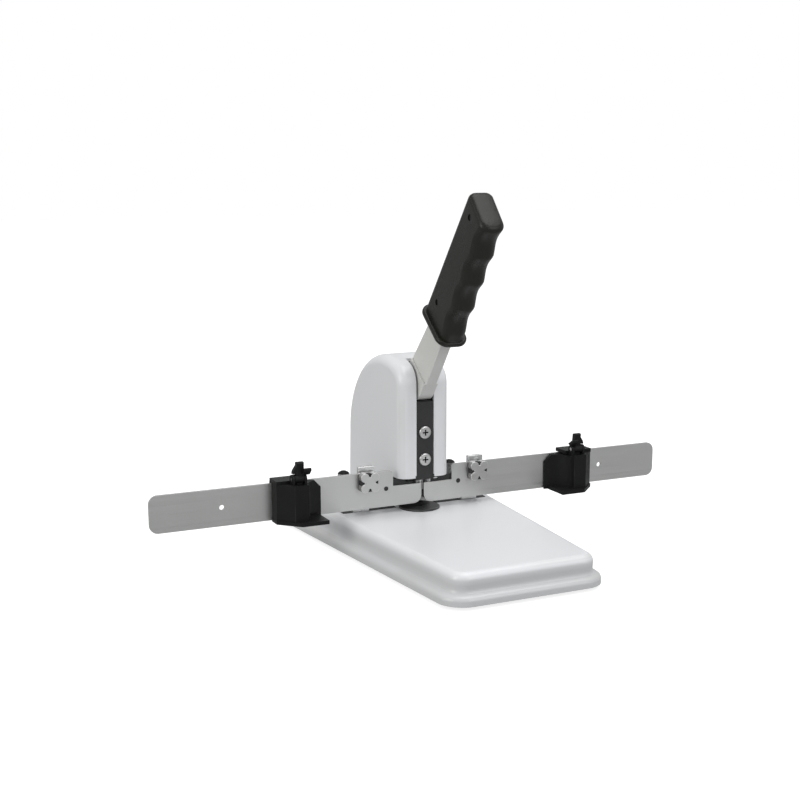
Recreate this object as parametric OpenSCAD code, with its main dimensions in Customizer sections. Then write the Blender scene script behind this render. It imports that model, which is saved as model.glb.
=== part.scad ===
// Desk lever punch that makes one round hole, with a long fence and two sliding side stops.
// Millimetres, +Z up. Origin on the desk under the middle of the base, fence along X, user at -Y.

/* [Base] */
// Depth of the base from front to back
base_depth = 300; // [260:1:340]
// Width of the base at its front edge
base_front_w = 131; // [110:1:160]
// Width of the base at its back edge
base_rear_w = 182; // [160:1:210]
// Height of the casting above the feet
base_h = 23.3; // [20:0.1:30]
// Height of the outer lip of the casting
lip_h = 8; // [5:0.5:12]
// Width of the outer lip at the sides and back
lip_w = 7.5; // [5:0.5:12]
// Width of the outer lip at the front
lip_front = 5; // [3:0.5:10]
// Corner radius of the base seen from above
base_corner_r = 14; // [8:1:20]
// Thickness of the casting walls
base_wall = 5; // [4:0.5:8]
// Thickness of the table top
table_skin = 6; // [5:0.5:9]
// Thickness of the steel plate that closes the bottom
bottom_plate_t = 1.5; // [1:0.1:2.5]
// Height of the rubber feet
foot_h = 3; // [2:0.5:6]
// Diameter of the rubber feet
foot_d = 18; // [14:1:24]

/* [Column] */
// Width of the white column
column_w = 45.4; // [42:0.1:52]
// Distance from the fence face forward to the column front
column_forward = 5; // [3:0.5:8]
// Radius of the domed back of the column
dome_r = 74; // [70:0.5:78]
// Height of the centre of the dome
dome_z = 78.2; // [75:0.1:84]
// Distance from the fence face back to the centre of the dome
dome_back = 31.9; // [28:0.1:33]
// Radius of the rounded front top edge
front_top_r = 18; // [12:0.5:24]
// Height of the lower edge of the column front
column_bottom_z = 54; // [52:0.5:57]
// Thickness of the column cover
cover_t = 3; // [2:0.5:4]
// Width of the front slot
slot_w = 16; // [14:0.5:18]

/* [Punch] */
// Diameter of the punched hole
punch_d = 6; // [4:0.5:8]
// Distance from the fence face back to the punch axis
punch_back = 6.5; // [6:0.1:9]
// Height of the punch tip at rest
punch_tip_z = 36.2; // [34:0.1:38]
// Diameter of the black die disc
die_disc_d = 34; // [28:0.5:38]
// Height of the die disc above the table
die_proud = 1.5; // [0.5:0.1:2.5]
// Radius of the lever arm that drives the ram
cam_r = 16; // [14:0.5:18]
// Angle that the lever turns
lever_travel = 40; // [30:1:45]

/* [Lever] */
// Angle that the lever leans forward from upright
lever_lean = 38.5; // [30:0.5:45]
// Height of the lever pivot
pivot_z = 125; // [120:0.5:130]
// Width of the lever channel across its side walls
lever_w = 10; // [8:0.5:12]
// Thickness of the lever sheet
lever_t = 2; // [1.5:0.1:2.5]
// Distance from the pivot to the lower end of the grip
grip_start = 79.2; // [70:0.1:90]
// Length of the grip to the edge of its end cap
grip_l = 115.3; // [100:0.1:135]
// Width of the grip
grip_w = 20.2; // [18:0.1:26]
// Angle between the front and the back of the grip
grip_taper = 3.3; // [0:0.1:5]
// Angle between the upper end of the grip and a square cut
grip_tilt = 10; // [0:1:18]
// Pitch of the finger grooves
groove_pitch = 25; // [22:0.5:27]
// Depth of the finger grooves
groove_depth = 3; // [1.5:0.1:4]

/* [Fence] */
// Length of the fence from end to end
fence_l = 460; // [400:1:520]
// Height of the fence plates
rail_h = 30; // [26:0.5:36]
// Thickness of the fence plates
rail_t = 1.8; // [1.2:0.1:2.5]
// Gap between the table and the fence
fence_lift = 5.5; // [4:0.5:6.5]
// Distance from the middle to the tall part of each plate
tall_x = 26.9; // [23:0.1:32]
// Height of the low middle part of each plate
low_h = 16.6; // [12:0.1:17]
// Width of the gap between the two plates
middle_gap = 2.2; // [1:0.1:4]
// Distance from the middle to each bracket
bracket_x = 50; // [46:0.5:56]
// Width of the brackets
bracket_w = 14.2; // [12:0.1:18]
// Thickness of the bracket strap
bracket_t = 3; // [2:0.1:4]
// Distance from the fence face back to the paper stop
stop_back = 12.5; // [11:0.5:18]
// Distance from the fence face back to the clamp posts
post_back = 50; // [44:0.5:60]
// Diameter of the clamp posts
post_d = 10; // [8:0.5:13]
// Height of the top of the clamp posts
post_top_z = 53.5; // [46:0.5:60]
// Distance from the middle to the hole near each fence end
end_hole_x = 172.6; // [165:0.5:185]

/* [Side stops] */
// Distance from the middle to the outer side of the left stop
stop_left_x = 132.2; // [110:0.1:180]
// Distance from the middle to the outer side of the right stop
stop_right_x = 157; // [110:0.5:180]
// Length of the bottom plate of a stop along the fence
stop_l = 38; // [34:0.5:46]
// Distance from the fence face to the front edge of the bottom plate
stop_front = 27.5; // [24:0.5:32]
// Size of the cut corner of the bottom plate
stop_chamfer = 16; // [8:0.5:18]
// Height of the thumb lever tip above its pin
thumb_h = 13.7; // [11:0.1:16]

/* [Hidden] */
$fn = 64;

// clearances
run_gap = 0.3;
fit_gap = 0.05;
cut = 1;

// heights and places along Y
table_z = foot_h + base_h;
front_y = -base_depth / 2;
rear_y = base_depth / 2;
fence_y = 31;
column_y = fence_y - column_forward;
punch_y = fence_y + punch_back;
rail_z = table_z + fence_lift;
rail_top = rail_z + rail_h;
rail_back_y = fence_y + rail_t;
low_top = rail_z + low_h;
post_y = fence_y + post_back;

// colours
white_paint = [0.90, 0.91, 0.92];
black_metal = [0.12, 0.12, 0.13];
black_plastic = [0.15, 0.15, 0.15];
bright_steel = [0.70, 0.71, 0.70];
grey_steel = [0.58, 0.59, 0.57];
lever_grey = [0.72, 0.72, 0.70];
brass_tone = [0.72, 0.58, 0.32];

// A point in the Y and Z plane drawn as X and Y, pushed out along X about the middle.
module side_extrude(width) {
  rotate([90, 0, 90])
    linear_extrude(height = width, center = true)
      children();
}

// A shape in the X and Z plane given depth from y_back towards the user.
module front_extrude(y_back, depth) {
  translate([0, y_back, 0])
    rotate([90, 0, 0])
      linear_extrude(height = depth)
        children();
}

// A round bar along X, from x0 to x1.
module bar_x(d, x0, x1) {
  translate([x0, 0, 0])
    rotate([0, 90, 0])
      cylinder(d = d, h = x1 - x0);
}

// A round bar along Y, from y0 to y1.
module bar_y(d, y0, y1) {
  translate([0, y1, 0])
    rotate([90, 0, 0])
      cylinder(d = d, h = y1 - y0);
}

// A block from one corner to the other.
module block(low, high) {
  translate(low)
    cube([high[0] - low[0], high[1] - low[1], high[2] - low[2]]);
}

// Half the width of the base at a place along Y.
function base_half(y) =
  (base_front_w + (base_rear_w - base_front_w) * (y - front_y) / base_depth) / 2;

// Seen from above: a tapered plan with round corners.
module tapered_plan(inset, y0, y1, r) {
  half_front = base_half(y0) - inset;
  half_rear = base_half(y1) - inset;
  lean = (half_rear - half_front) / (y1 - y0);
  angle = atan(lean);
  front_cx = half_front + lean * r - r / cos(angle);
  rear_cx = half_rear - lean * r - r / cos(angle);
  side_x = r * cos(angle);
  side_y = r * sin(angle);
  polygon([
    [-front_cx, y0],
    [front_cx, y0],
    [front_cx + side_x, y0 + r - side_y],
    [rear_cx + side_x, y1 - r - side_y],
    [rear_cx, y1],
    [-rear_cx, y1],
    [-rear_cx - side_x, y1 - r - side_y],
    [-front_cx - side_x, y0 + r - side_y]
  ]);
  for (side = [-1, 1]) {
    translate([side * front_cx, y0 + r])
      circle(r = r);
    translate([side * rear_cx, y1 - r])
      circle(r = r);
  }
}

// feet and their screws
foot_front = [48, front_y + 24];
foot_rear = [68, rear_y - 24];
foot_places = [
  [-foot_front[0], foot_front[1]],
  [foot_front[0], foot_front[1]],
  [-foot_rear[0], foot_rear[1]],
  [foot_rear[0], foot_rear[1]]
];
foot_screw_d = 4;
foot_head_d = 8;
foot_head_h = 1.4;
foot_screw_top = 15;
foot_boss_d = 12;
foot_seat = 1.4;

// bottom plate and drawer
plate_inset = 4;
plate_top = foot_h + bottom_plate_t;
drawer_w = 52;
drawer_z0 = plate_top + run_gap;
drawer_h = 9;
drawer_front_y = punch_y - 22;
drawer_rear_y = rear_y - 0.5;
drawer_wall = 1.6;

// die
die_bush_d = 14;
die_bush_l = 11;
die_seat_t = 4;
die_boss_d = 30;
die_top = table_z + die_proud;
die_disc_z0 = table_z - die_seat_t;
die_hole_d = punch_d + 0.1;
die_relief_d = punch_d + 2;

// frame
frame_plate_t = 6;
frame_gap = 16.8;
plate_rise = 19;
plate_in = frame_gap / 2;
plate_out = plate_in + frame_plate_t;
frame_front_y = fence_y - 1;
frame_back = 94;
throat_back = 36;
frame_rear_y = fence_y + frame_back;
throat_y = fence_y + throat_back;
frame_low_z = 51;
throat_z = frame_low_z + 1;
rear_block_y0 = throat_y + 8;
rear_block_y1 = frame_rear_y - 3;
rear_block_h = 44;
rear_block_top = table_z + rear_block_h;
bolt_d = 8;
bolt_head_d = 13;
bolt_head_h = 5.3;
bolt_inset = 10;
bolt_reach = 22;
bolt_places = [rear_block_y0 + bolt_inset, rear_block_y1 - bolt_inset];
bolt_top = table_z + bolt_reach;
pin_d = 8;
pin_rise = 34;
pin_places_z = table_z + pin_rise;

// column
column_half = column_w / 2;
dome_y = fence_y + dome_back;
cover_in = column_half - cover_t;
column_splay = 2.2;
front_top_lift = 0.3;
column_edge_r = 8.5;
column_back_y = dome_y + dome_r + column_splay + 0.5;
slot_rear_y = fence_y + 16;
plate_clear = 1;
foot_slot_w = slot_w + 1.6;
foot_slot_clear = 0.5;
cover_screw_d = 4;
cover_screw_head_d = 8;
cover_screw_head_h = 2.2;
cover_screw_place = [frame_rear_y - 12, table_z + 10];

// lever pivot and cam
contact_drop = 7;
contact_y = fence_y + 2.5;
pivot_y = contact_y + cam_r;
stroke = cam_r * lever_travel * PI / 180;
pivot_pin_d = 8;
hub_r = 11;
hub_boss_r = 9;
bush_d = 11;
cam_w = 12.6;
hub_w = frame_gap - 2 * run_gap;

// ram
ram_top = pivot_z - contact_drop - run_gap;
ram_w = frame_gap - 2 * run_gap;
ram_front_y = frame_front_y;
ram_depth = 13;
ram_rear_y = fence_y + ram_depth;
ram_pad_y = pivot_y - hub_r + 0.4;
ram_rear_top = pivot_z - hub_r - 1.4;
ram_crotch_z = low_top + stroke + 1.2;
ram_crotch_y = rail_back_y + 0.6;
ram_low_z = frame_low_z + 3;
key_depth = 2.2;
key_back = 4;
key_w = 6;
key_lift = 10;
key_y0 = fence_y + key_back;
key_y1 = key_y0 + key_w;
key_z0 = ram_low_z + key_lift;
key_z1 = ram_rear_top - 2;
bar_t = 3;
bar_y0 = frame_front_y - bar_t;
bar_w = slot_w - 0.8;
bar_lift = 1;
bar_z0 = frame_low_z + bar_lift;
bar_top = ram_top - 0.5;
bar_foot_h = 3.5;
bar_foot_w = slot_w + 0.8;
bar_screw_zs = [69, 91.7];
bar_screw_d = 5;
bar_screw_head_d = 10.6;
bar_screw_head_h = 2.4;
bar_screw_sink = 0.8;
bar_screw_l = punch_y - punch_d / 2 - 1 - bar_y0;
punch_hold = 26;
punch_top_z = ram_low_z + punch_hold;
set_screw_d = 4;
set_screw_lift = 8;
set_screw_z = ram_low_z + set_screw_lift;
lug_z0 = 98;
lug_z1 = 106;
lug_back = 27.5;
lug_rear_y = fence_y + lug_back;
lug_w = 12;

// return spring
spring_y = fence_y + 21.5;
spring_block_y0 = fence_y + 15;
spring_block_y1 = fence_y + 28;
spring_block_z0 = throat_z;
spring_block_z1 = throat_z + 10;
spring_z0 = spring_block_z1 - 2;
spring_z1 = lug_z0;
spring_r = 3.5;
spring_wire_r = 0.6;
spring_turns = 8;
spring_pin_d = 5;

// grip
grip_rear_n = -12;
grip_front_n = 30.4;
grip_rear_r = 5.7;
grip_front_r = 8.9;
grip_reach = 30;
collar_t = 4.4;
collar_side = 3.2;
collar_rear = 2.7;
collar_front = 0.8;
collar_r = 9.5;
cap_t = 3.7;
grip_end_u = grip_start + grip_l - cap_t;
grip_full_u = grip_start + grip_l;
grip_top_n = grip_front_n - grip_l * tan(grip_taper);
grip_mid_n = (grip_top_n + grip_rear_n) / 2;
grip_half_n = (grip_top_n - grip_rear_n) / 2;
crown_r = 60;
crown_h = crown_r - sqrt(pow(crown_r, 2) - pow(grip_half_n, 2));
groove_land = 3;
groove_chord = groove_pitch - groove_land;
groove_r = (groove_chord * groove_chord / 4 + groove_depth * groove_depth) / (2 * groove_depth);
groove_end = 16;
groove_first_u = grip_full_u - groove_end;
grip_screw_low = 21.5;
grip_screw_end = 8.5;
grip_screw_us = [grip_start + grip_screw_low, grip_start + grip_l - grip_screw_end];
grip_screw_n = 1.9;
grip_screw_d = 3.4;
grip_screw_head_d = 4.8;
grip_screw_sink = 1.2;
grip_screw_head_h = 2;

// lever
tang_short = 2.2;
lever_end_u = grip_end_u - tang_short;
channel_start_u = 27.2;
channel_front_n = 22;
channel_rear_n = -9.3;
neck_front_n = 20.4;
neck_rear_n = -4.8;
neck_u = grip_start + 2.3;
tang_front_n = 15.5;
tang_rear_n = -3;
tang_u = neck_u + 7;
tongue_end_u = 60;
rivet_d = 5;
rivet_us = [37, 52];
rivet_n = 6.5;
nose_end_s = 22;
nose_front_n = 21.35;

// fence
end_x = fence_l / 2;
knob_rise = 22.9;
knob_z = rail_z + knob_rise;
knob_shank_d = 4.8;
plate_hole_x = 33.1;
plate_hole_z = rail_z + 15;
plate_hole_d = 4;
end_hole_d = 4;
arch_r = 6.8;
end_corner_r = 7;
tall_corner_r = 3;
bracket_top_z = rail_top + 5;
bracket_rear_y = fence_y + stop_back;
bracket_arm_end_y = post_y + 12;
post_shank_d = 5;
post_shank_z = 12;
post_boss_d = 12;
post_cap_h = 2.4;
strip_t = 1.4;
strip_half = 38;
strip_lift = 4.4;
strip_z0 = rail_z + strip_lift;
strip_top = frame_low_z - 2 * run_gap;
strip_ear_x = plate_out + 2 * run_gap;
strip_ear_top = column_bottom_z - 2 * run_gap;
strip_notch_half = ram_w / 2 + run_gap;
strip_notch_z = ram_low_z - stroke - 2 * run_gap;
knob_core_r = 4.8;
knob_lobe_ring = 6.2;
knob_lobe_r = 3.7;
knob_t = 5.4;
knob_foot = 0.8;
knob_collar_d = 14.8;
knob_collar_t = 5;

// stops
stop_slot_y0 = fence_y - run_gap;
stop_slot_y1 = rail_back_y + run_gap;
stop_lip_t = 2.9;
stop_lip_h = 12;
stop_rear_y = stop_slot_y1 + stop_lip_t;
stop_front_y = fence_y - stop_front;
stop_step = 0.3;
stop_plate_t = 3;
stop_plate_z0 = rail_z - 0.8;
stop_plate_z1 = stop_plate_z0 + stop_plate_t;
stop_cap_w = 26;
stop_cap_in = 0.5;
stop_cap_y0 = fence_y - 11.5;
stop_cap_z0 = rail_top + run_gap;
stop_cap_z1 = stop_cap_z0 + 3.1;
stop_block_w = 23.5;
stop_block_y0 = stop_front_y + 5.5;
stop_block_cut = 11.5;
stop_block_top = stop_cap_z0 + 0.7;
wing_end = 41;
wing_r = 20.4;
wing_bite = 0.3;
wing_top = rail_top - 0.4;
wing_slope = 6;

// thumb lever of a stop
thumb_y = fence_y - 15;
thumb_z = stop_block_top + 4.2;
thumb_hub_r = 3.6;
thumb_hub_x = [-21, -13.6];
thumb_fin_x = [-21, -15];
thumb_nub_x = [-25.7, -19.5];
thumb_rib_x = [-15.5, -12.4, -11.8];
thumb_rib_z = [4.4, 7, 11.5];
thumb_rib_y = [-2.4, 1.6];
thumb_toe_x = [-20, -15];
thumb_toe_half = 2;
thumb_toe_l = 8.5;
thumb_toe_swing = 6;
thumb_pin_d = 3;
cheek_t = 2;
cheek_x = [thumb_hub_x[0] - run_gap - cheek_t, thumb_hub_x[1] + run_gap];
shoe_d = 4;
shoe_x = (thumb_toe_x[0] + thumb_toe_x[1]) / 2;
shoe_z = rail_top - 2.2;
shoe_front_y = thumb_y + thumb_toe_half + run_gap;

// Casting with an outer lip, a raised table and a hollow underside with bosses.
module base_casting() {
  color(white_paint)
    difference() {
      union() {
        translate([0, 0, foot_h])
          linear_extrude(height = lip_h)
            tapered_plan(0, front_y, rear_y, base_corner_r);
        translate([0, 0, foot_h])
          linear_extrude(height = base_h)
            tapered_plan(lip_w, front_y + lip_front, rear_y - lip_w, base_corner_r - 4);
      }
      difference() {
        translate([0, 0, foot_h - cut])
          linear_extrude(height = base_h - table_skin + cut)
            tapered_plan(
              lip_w + base_wall,
              front_y + lip_front + base_wall,
              rear_y - lip_w - base_wall,
              base_corner_r - 8
            );
        for (p = foot_places)
          translate([p[0], p[1], plate_top])
            cylinder(d = foot_boss_d, h = base_h);
        for (side = [-1, 1])
          translate([side * bracket_x, post_y, post_shank_z - 3])
            cylinder(d = post_boss_d, h = base_h);
        translate([0, punch_y, die_disc_z0 - 7])
          cylinder(d = die_boss_d, h = base_h);
      }
      translate([0, 0, foot_h - cut])
        linear_extrude(height = bottom_plate_t + cut)
          tapered_plan(
            plate_inset,
            front_y + plate_inset,
            rear_y - plate_inset,
            base_corner_r - plate_inset
          );
      for (p = foot_places)
        translate([p[0], p[1], foot_h])
          cylinder(d = foot_screw_d + 2 * fit_gap, h = foot_screw_top - foot_h + cut);
      for (side = [-1, 1])
        translate([side * bracket_x, post_y, post_shank_z - 1])
          cylinder(d = post_shank_d + 2 * fit_gap, h = base_h);
      for (y = bolt_places)
        translate([0, y, foot_h])
          cylinder(d = bolt_d + 2 * run_gap, h = base_h + cut);
      translate([0, punch_y, die_disc_z0])
        cylinder(d = die_disc_d + 2 * fit_gap, h = base_h);
      translate([0, punch_y, foot_h])
        cylinder(d = die_bush_d + 2 * fit_gap, h = base_h);
      block(
        [-drawer_w / 2 - run_gap, rear_y - lip_w - base_wall - cut, foot_h - cut],
        [drawer_w / 2 + run_gap, rear_y + cut, drawer_z0 + drawer_h + run_gap]
      );
    }
}

// Thin steel plate let into the underside.
module bottom_plate() {
  color(grey_steel)
    difference() {
      translate([0, 0, foot_h])
        linear_extrude(height = bottom_plate_t)
          tapered_plan(
            plate_inset + run_gap,
            front_y + plate_inset + run_gap,
            rear_y - plate_inset - run_gap,
            base_corner_r - plate_inset - run_gap
          );
      for (p = foot_places)
        translate([p[0], p[1], foot_h - cut])
          cylinder(d = foot_screw_d + 2 * fit_gap, h = bottom_plate_t + 2 * cut);
    }
}

// Four round feet under the corners.
module rubber_feet() {
  color(black_plastic)
    for (p = foot_places)
      translate([p[0], p[1], 0])
        difference() {
          cylinder(d = foot_d, h = foot_h);
          translate([0, 0, -cut])
            cylinder(d = foot_screw_d + 2 * fit_gap, h = foot_h + 2 * cut);
          translate([0, 0, -cut])
            cylinder(d = foot_head_d + 1, h = foot_seat + cut);
        }
}

// Screws that hold the feet and the bottom plate.
module feet_screws() {
  color(bright_steel)
    for (p = foot_places)
      translate([p[0], p[1], 0]) {
        translate([0, 0, foot_seat - foot_head_h + 0.6])
          cylinder(d = foot_head_d, h = foot_head_h - 0.6);
        translate([0, 0, foot_seat])
          cylinder(d = foot_screw_d, h = foot_screw_top - foot_seat);
      }
}

// Shallow drawer that catches the punched chips and pulls out at the back.
module chip_drawer() {
  color(black_plastic) {
    difference() {
      block(
        [-drawer_w / 2, drawer_front_y, drawer_z0],
        [drawer_w / 2, drawer_rear_y, drawer_z0 + drawer_h]
      );
      block(
        [-drawer_w / 2 + drawer_wall, drawer_front_y + drawer_wall, drawer_z0 + drawer_wall],
        [drawer_w / 2 - drawer_wall, drawer_rear_y - 2 * drawer_wall, drawer_z0 + drawer_h + cut]
      );
      translate([0, drawer_rear_y + 8, drawer_z0 + drawer_wall])
        cylinder(r = 10, h = drawer_h);
    }
  }
}

// Black disc set in the table under the punch.
module die_disc() {
  color(black_metal)
    difference() {
      translate([0, punch_y, die_disc_z0])
        cylinder(d = die_disc_d, h = die_top - die_disc_z0);
      translate([0, punch_y, die_disc_z0 - cut])
        cylinder(d = die_bush_d + 2 * fit_gap, h = die_top);
    }
}

// Hardened bush with the cutting edge, wider below so that chips fall free.
module die_bush() {
  color(bright_steel)
    difference() {
      translate([0, punch_y, die_top - die_bush_l])
        cylinder(d = die_bush_d, h = die_bush_l);
      translate([0, punch_y, die_top - die_bush_l - cut])
        cylinder(d = die_hole_d, h = die_bush_l + 2 * cut);
      translate([0, punch_y, die_top - die_bush_l - cut])
        cylinder(d = die_relief_d, h = die_bush_l - 4 + cut);
    }
}

// Side outline of the column: upright front, round front top, domed back and a leaning rear.
module column_outline(inset, low_z) {
  front = column_y + inset;
  rear = dome_y + dome_r - inset;
  top_z = dome_z + dome_r + cut;
  rear_lean = column_splay / (dome_z - table_z);
  corner_y = column_y + front_top_r;
  tangent_z = sqrt(pow(dome_r - front_top_r, 2) - pow(dome_y - corner_y, 2));
  corner_z = dome_z + tangent_z + front_top_lift;
  difference() {
    polygon([
      [front, low_z],
      [front, top_z],
      [rear - rear_lean * (top_z - dome_z), top_z],
      [rear - rear_lean * (low_z - dome_z), low_z]
    ]);
    difference() {
      translate([front - cut, dome_z + column_splay])
        square([2 * dome_r, dome_r]);
      translate([dome_y, dome_z])
        circle(r = dome_r - inset, $fn = 128);
    }
    difference() {
      translate([front - cut, corner_z])
        square([corner_y - front + cut, dome_r]);
      translate([corner_y, corner_z])
        circle(r = front_top_r - inset);
    }
  }
}

// Column seen from above, with round corners.
module column_plan(inset) {
  half = column_half - inset;
  r = column_edge_r - inset;
  front = column_y + inset;
  back = column_back_y - inset;
  translate([-half + r, front])
    square([2 * half - 2 * r, back - front]);
  translate([-half, front + r])
    square([2 * half, back - front - 2 * r]);
  for (side = [-1, 1])
    for (y = [front + r, back - r])
      translate([side * (half - r), y])
        circle(r = r);
}

// Solid of the column, shrunk by an inset, from a height upwards.
module column_solid(inset, low_z) {
  intersection() {
    side_extrude(column_w - 2 * inset)
      column_outline(inset, low_z);
    translate([0, 0, low_z - cut])
      linear_extrude(height = dome_z + dome_r)
        column_plan(inset);
  }
}

// White sheet cover over the mechanism, open at the front slot, the throat and the bottom.
module column_cover() {
  color(white_paint)
    difference() {
      column_solid(0, table_z);
      difference() {
        column_solid(cover_t, table_z - cut);
        for (side = [-1, 1])
          translate([0, cover_screw_place[0], cover_screw_place[1]])
            bar_x(10, min(side * plate_out, side * column_half), max(side * plate_out, side * column_half));
      }
      block(
        [-slot_w / 2, column_y - cut, table_z],
        [slot_w / 2, slot_rear_y, dome_z + dome_r + cut]
      );
      block(
        [-foot_slot_w / 2, column_y - cut, table_z],
        [foot_slot_w / 2, fence_y, bar_z0 + bar_foot_h + foot_slot_clear]
      );
      block(
        [-column_w, column_y - cut, table_z - cut],
        [column_w, throat_y - 3, column_bottom_z]
      );
      for (side = [-1, 1])
        translate([0, cover_screw_place[0], cover_screw_place[1]])
          bar_x(cover_screw_d + 2 * fit_gap, -column_w, column_w);
    }
}

// Two side screws that hold the cover to the frame.
module cover_screws() {
  color(bright_steel)
    for (side = [-1, 1])
      translate([0, cover_screw_place[0], cover_screw_place[1]])
        mirror([side < 0 ? 1 : 0, 0, 0]) {
          bar_x(cover_screw_d, plate_in + 1, column_half + 0.5);
          bar_x(cover_screw_head_d, column_half, column_half + cover_screw_head_h);
        }
}

// One steel side plate of the frame, with the throat, the pivot hole and the ram groove.
module side_plate(side) {
  color(grey_steel)
    difference() {
      translate([side * (plate_in + plate_out) / 2, 0, 0])
        side_extrude(frame_plate_t)
          difference() {
            intersection() {
              column_outline(cover_t + plate_clear, table_z);
              translate([frame_front_y, table_z])
                square([frame_rear_y - frame_front_y, pivot_z + plate_rise - table_z]);
            }
            translate([frame_front_y - cut, table_z - cut])
              square([throat_y - frame_front_y + cut, throat_z - table_z + cut]);
            translate([pivot_y, pivot_z])
              circle(d = pivot_pin_d + 2 * fit_gap);
            for (y = bolt_places)
              translate([y, pin_places_z])
                circle(d = pin_d + 2 * fit_gap);
            translate([spring_y, spring_block_z0 + 4])
              circle(d = spring_pin_d + 2 * fit_gap);
            translate(cover_screw_place)
              circle(d = cover_screw_d + 2 * fit_gap);
          }
      translate([side * plate_in, (key_y0 + key_y1) / 2, throat_z])
        cube([2 * key_depth, key_y1 - key_y0, 2 * (ram_top - throat_z)], center = true);
    }
}

module side_plate_left() {
  side_plate(-1);
}

module side_plate_right() {
  side_plate(1);
}

// Steel block between the side plates at the back, bolted to the base.
module rear_block() {
  color(grey_steel)
    difference() {
      block([-plate_in, rear_block_y0, table_z], [plate_in, rear_block_y1, rear_block_top]);
      for (y = bolt_places) {
        translate([0, y, table_z - cut])
          cylinder(d = bolt_d + 2 * fit_gap, h = bolt_top - table_z + 2 * cut);
        translate([0, y, pin_places_z])
          bar_x(pin_d + 2 * fit_gap, -column_w, column_w);
      }
    }
}

// Two bolts from below that hold the frame to the base.
module frame_bolts() {
  color(bright_steel)
    for (y = bolt_places)
      translate([0, y, table_z - table_skin - bolt_head_h]) {
        cylinder(d = bolt_head_d, h = bolt_head_h);
        cylinder(d = bolt_d, h = bolt_top - table_z + table_skin + bolt_head_h);
      }
}

// Two cross pins that join the side plates and the rear block.
module frame_pins() {
  color(bright_steel)
    for (y = bolt_places)
      translate([0, y, pin_places_z])
        bar_x(pin_d, -plate_out, plate_out);
}

// Block under the return spring, held by one cross pin of its own.
module spring_block() {
  color(grey_steel) {
    difference() {
      block(
        [-plate_in, spring_block_y0, spring_block_z0],
        [plate_in, spring_block_y1, spring_block_z1]
      );
      translate([0, spring_y, spring_z0])
        cylinder(r = spring_r + spring_wire_r + 0.4, h = 5);
    }
    translate([0, spring_y, spring_block_z0 + 4])
      bar_x(spring_pin_d, -plate_out, plate_out);
  }
}

// Steel pin that the lever turns on.
module pivot_pin() {
  color(bright_steel)
    translate([0, pivot_y, pivot_z])
      bar_x(pivot_pin_d, -cover_in + run_gap, cover_in - run_gap);
}

// Rings that keep the pivot pin in the side plates.
module pivot_clips() {
  color(black_metal)
    translate([0, pivot_y, pivot_z])
      for (side = [-1, 1])
        mirror([side < 0 ? 1 : 0, 0, 0])
          difference() {
            bar_x(13, plate_out, plate_out + 1);
            bar_x(pivot_pin_d + 2 * fit_gap, plate_out - cut, plate_out + 1 + cut);
          }
}

// Sliding steel block that carries the punch; side keys run in the frame grooves.
module ram() {
  color(black_metal)
    difference() {
      union() {
        block([-ram_w / 2, ram_front_y, ram_crotch_z], [ram_w / 2, ram_pad_y, ram_top]);
        block([-ram_w / 2, ram_front_y, ram_crotch_z], [ram_w / 2, ram_rear_y, ram_rear_top]);
        block([-ram_w / 2, ram_crotch_y, ram_low_z], [ram_w / 2, ram_rear_y, ram_rear_top]);
        block(
          [-plate_in - key_depth + run_gap, key_y0 + run_gap, key_z0],
          [plate_in + key_depth - run_gap, key_y1 - run_gap, key_z1]
        );
        block([-lug_w / 2, ram_rear_y - cut, lug_z0], [lug_w / 2, lug_rear_y, lug_z1]);
      }
      translate([0, punch_y, ram_low_z - cut])
        cylinder(d = punch_d + 2 * fit_gap, h = punch_top_z - ram_low_z + cut);
      translate([0, 0, set_screw_z])
        bar_y(set_screw_d + 2 * fit_gap, punch_y, ram_rear_y + cut);
      for (z = bar_screw_zs)
        translate([0, 0, z])
          bar_y(bar_screw_d + 2 * fit_gap, ram_front_y - cut, bar_y0 + bar_screw_l + 0.4);
    }
}

// Black front bar of the ram, seen in the column slot, with a wider foot below.
module ram_bar() {
  color(black_metal)
    difference() {
      union() {
        block([-bar_w / 2, bar_y0, bar_z0], [bar_w / 2, ram_front_y, bar_top]);
        block(
          [-bar_foot_w / 2, bar_y0, bar_z0],
          [bar_foot_w / 2, ram_front_y, bar_z0 + bar_foot_h]
        );
      }
      for (z = bar_screw_zs)
        translate([0, 0, z]) {
          bar_y(bar_screw_d + 2 * fit_gap, bar_y0 - cut, ram_front_y + cut);
          bar_y(bar_screw_head_d + 0.4, bar_y0 - cut, bar_y0 + bar_screw_sink);
        }
    }
}

// Two pan head screws with cross recesses in the front bar.
module ram_bar_screws() {
  color(bright_steel)
    for (z = bar_screw_zs)
      translate([0, 0, z])
        difference() {
          union() {
            bar_y(bar_screw_head_d, bar_y0 + bar_screw_sink - bar_screw_head_h, bar_y0 + bar_screw_sink);
            bar_y(bar_screw_d, bar_y0, bar_y0 + bar_screw_l);
          }
          for (turn = [0, 90])
            rotate([0, turn, 0])
              translate([0, bar_y0 + bar_screw_sink - bar_screw_head_h, 0])
                cube([5, 3, 1.2], center = true);
        }
}

// Round punch held in the ram.
module punch_pin() {
  color(bright_steel)
    translate([0, punch_y, punch_tip_z])
      cylinder(d = punch_d, h = punch_top_z - punch_tip_z);
}

// Small screw from behind that locks the punch.
module punch_set_screw() {
  color(bright_steel)
    translate([0, 0, set_screw_z])
      bar_y(set_screw_d, punch_y + punch_d / 2, ram_rear_y);
}

// One ring of the spring tube at angle a and height z.
function spring_ring(a, z) = [
  for (k = [0:5])
    let (
      q = spring_r + spring_wire_r * cos(k * 60)
    )
    [q * cos(a), q * sin(a), z + spring_wire_r * sin(k * 60)]
];

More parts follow.
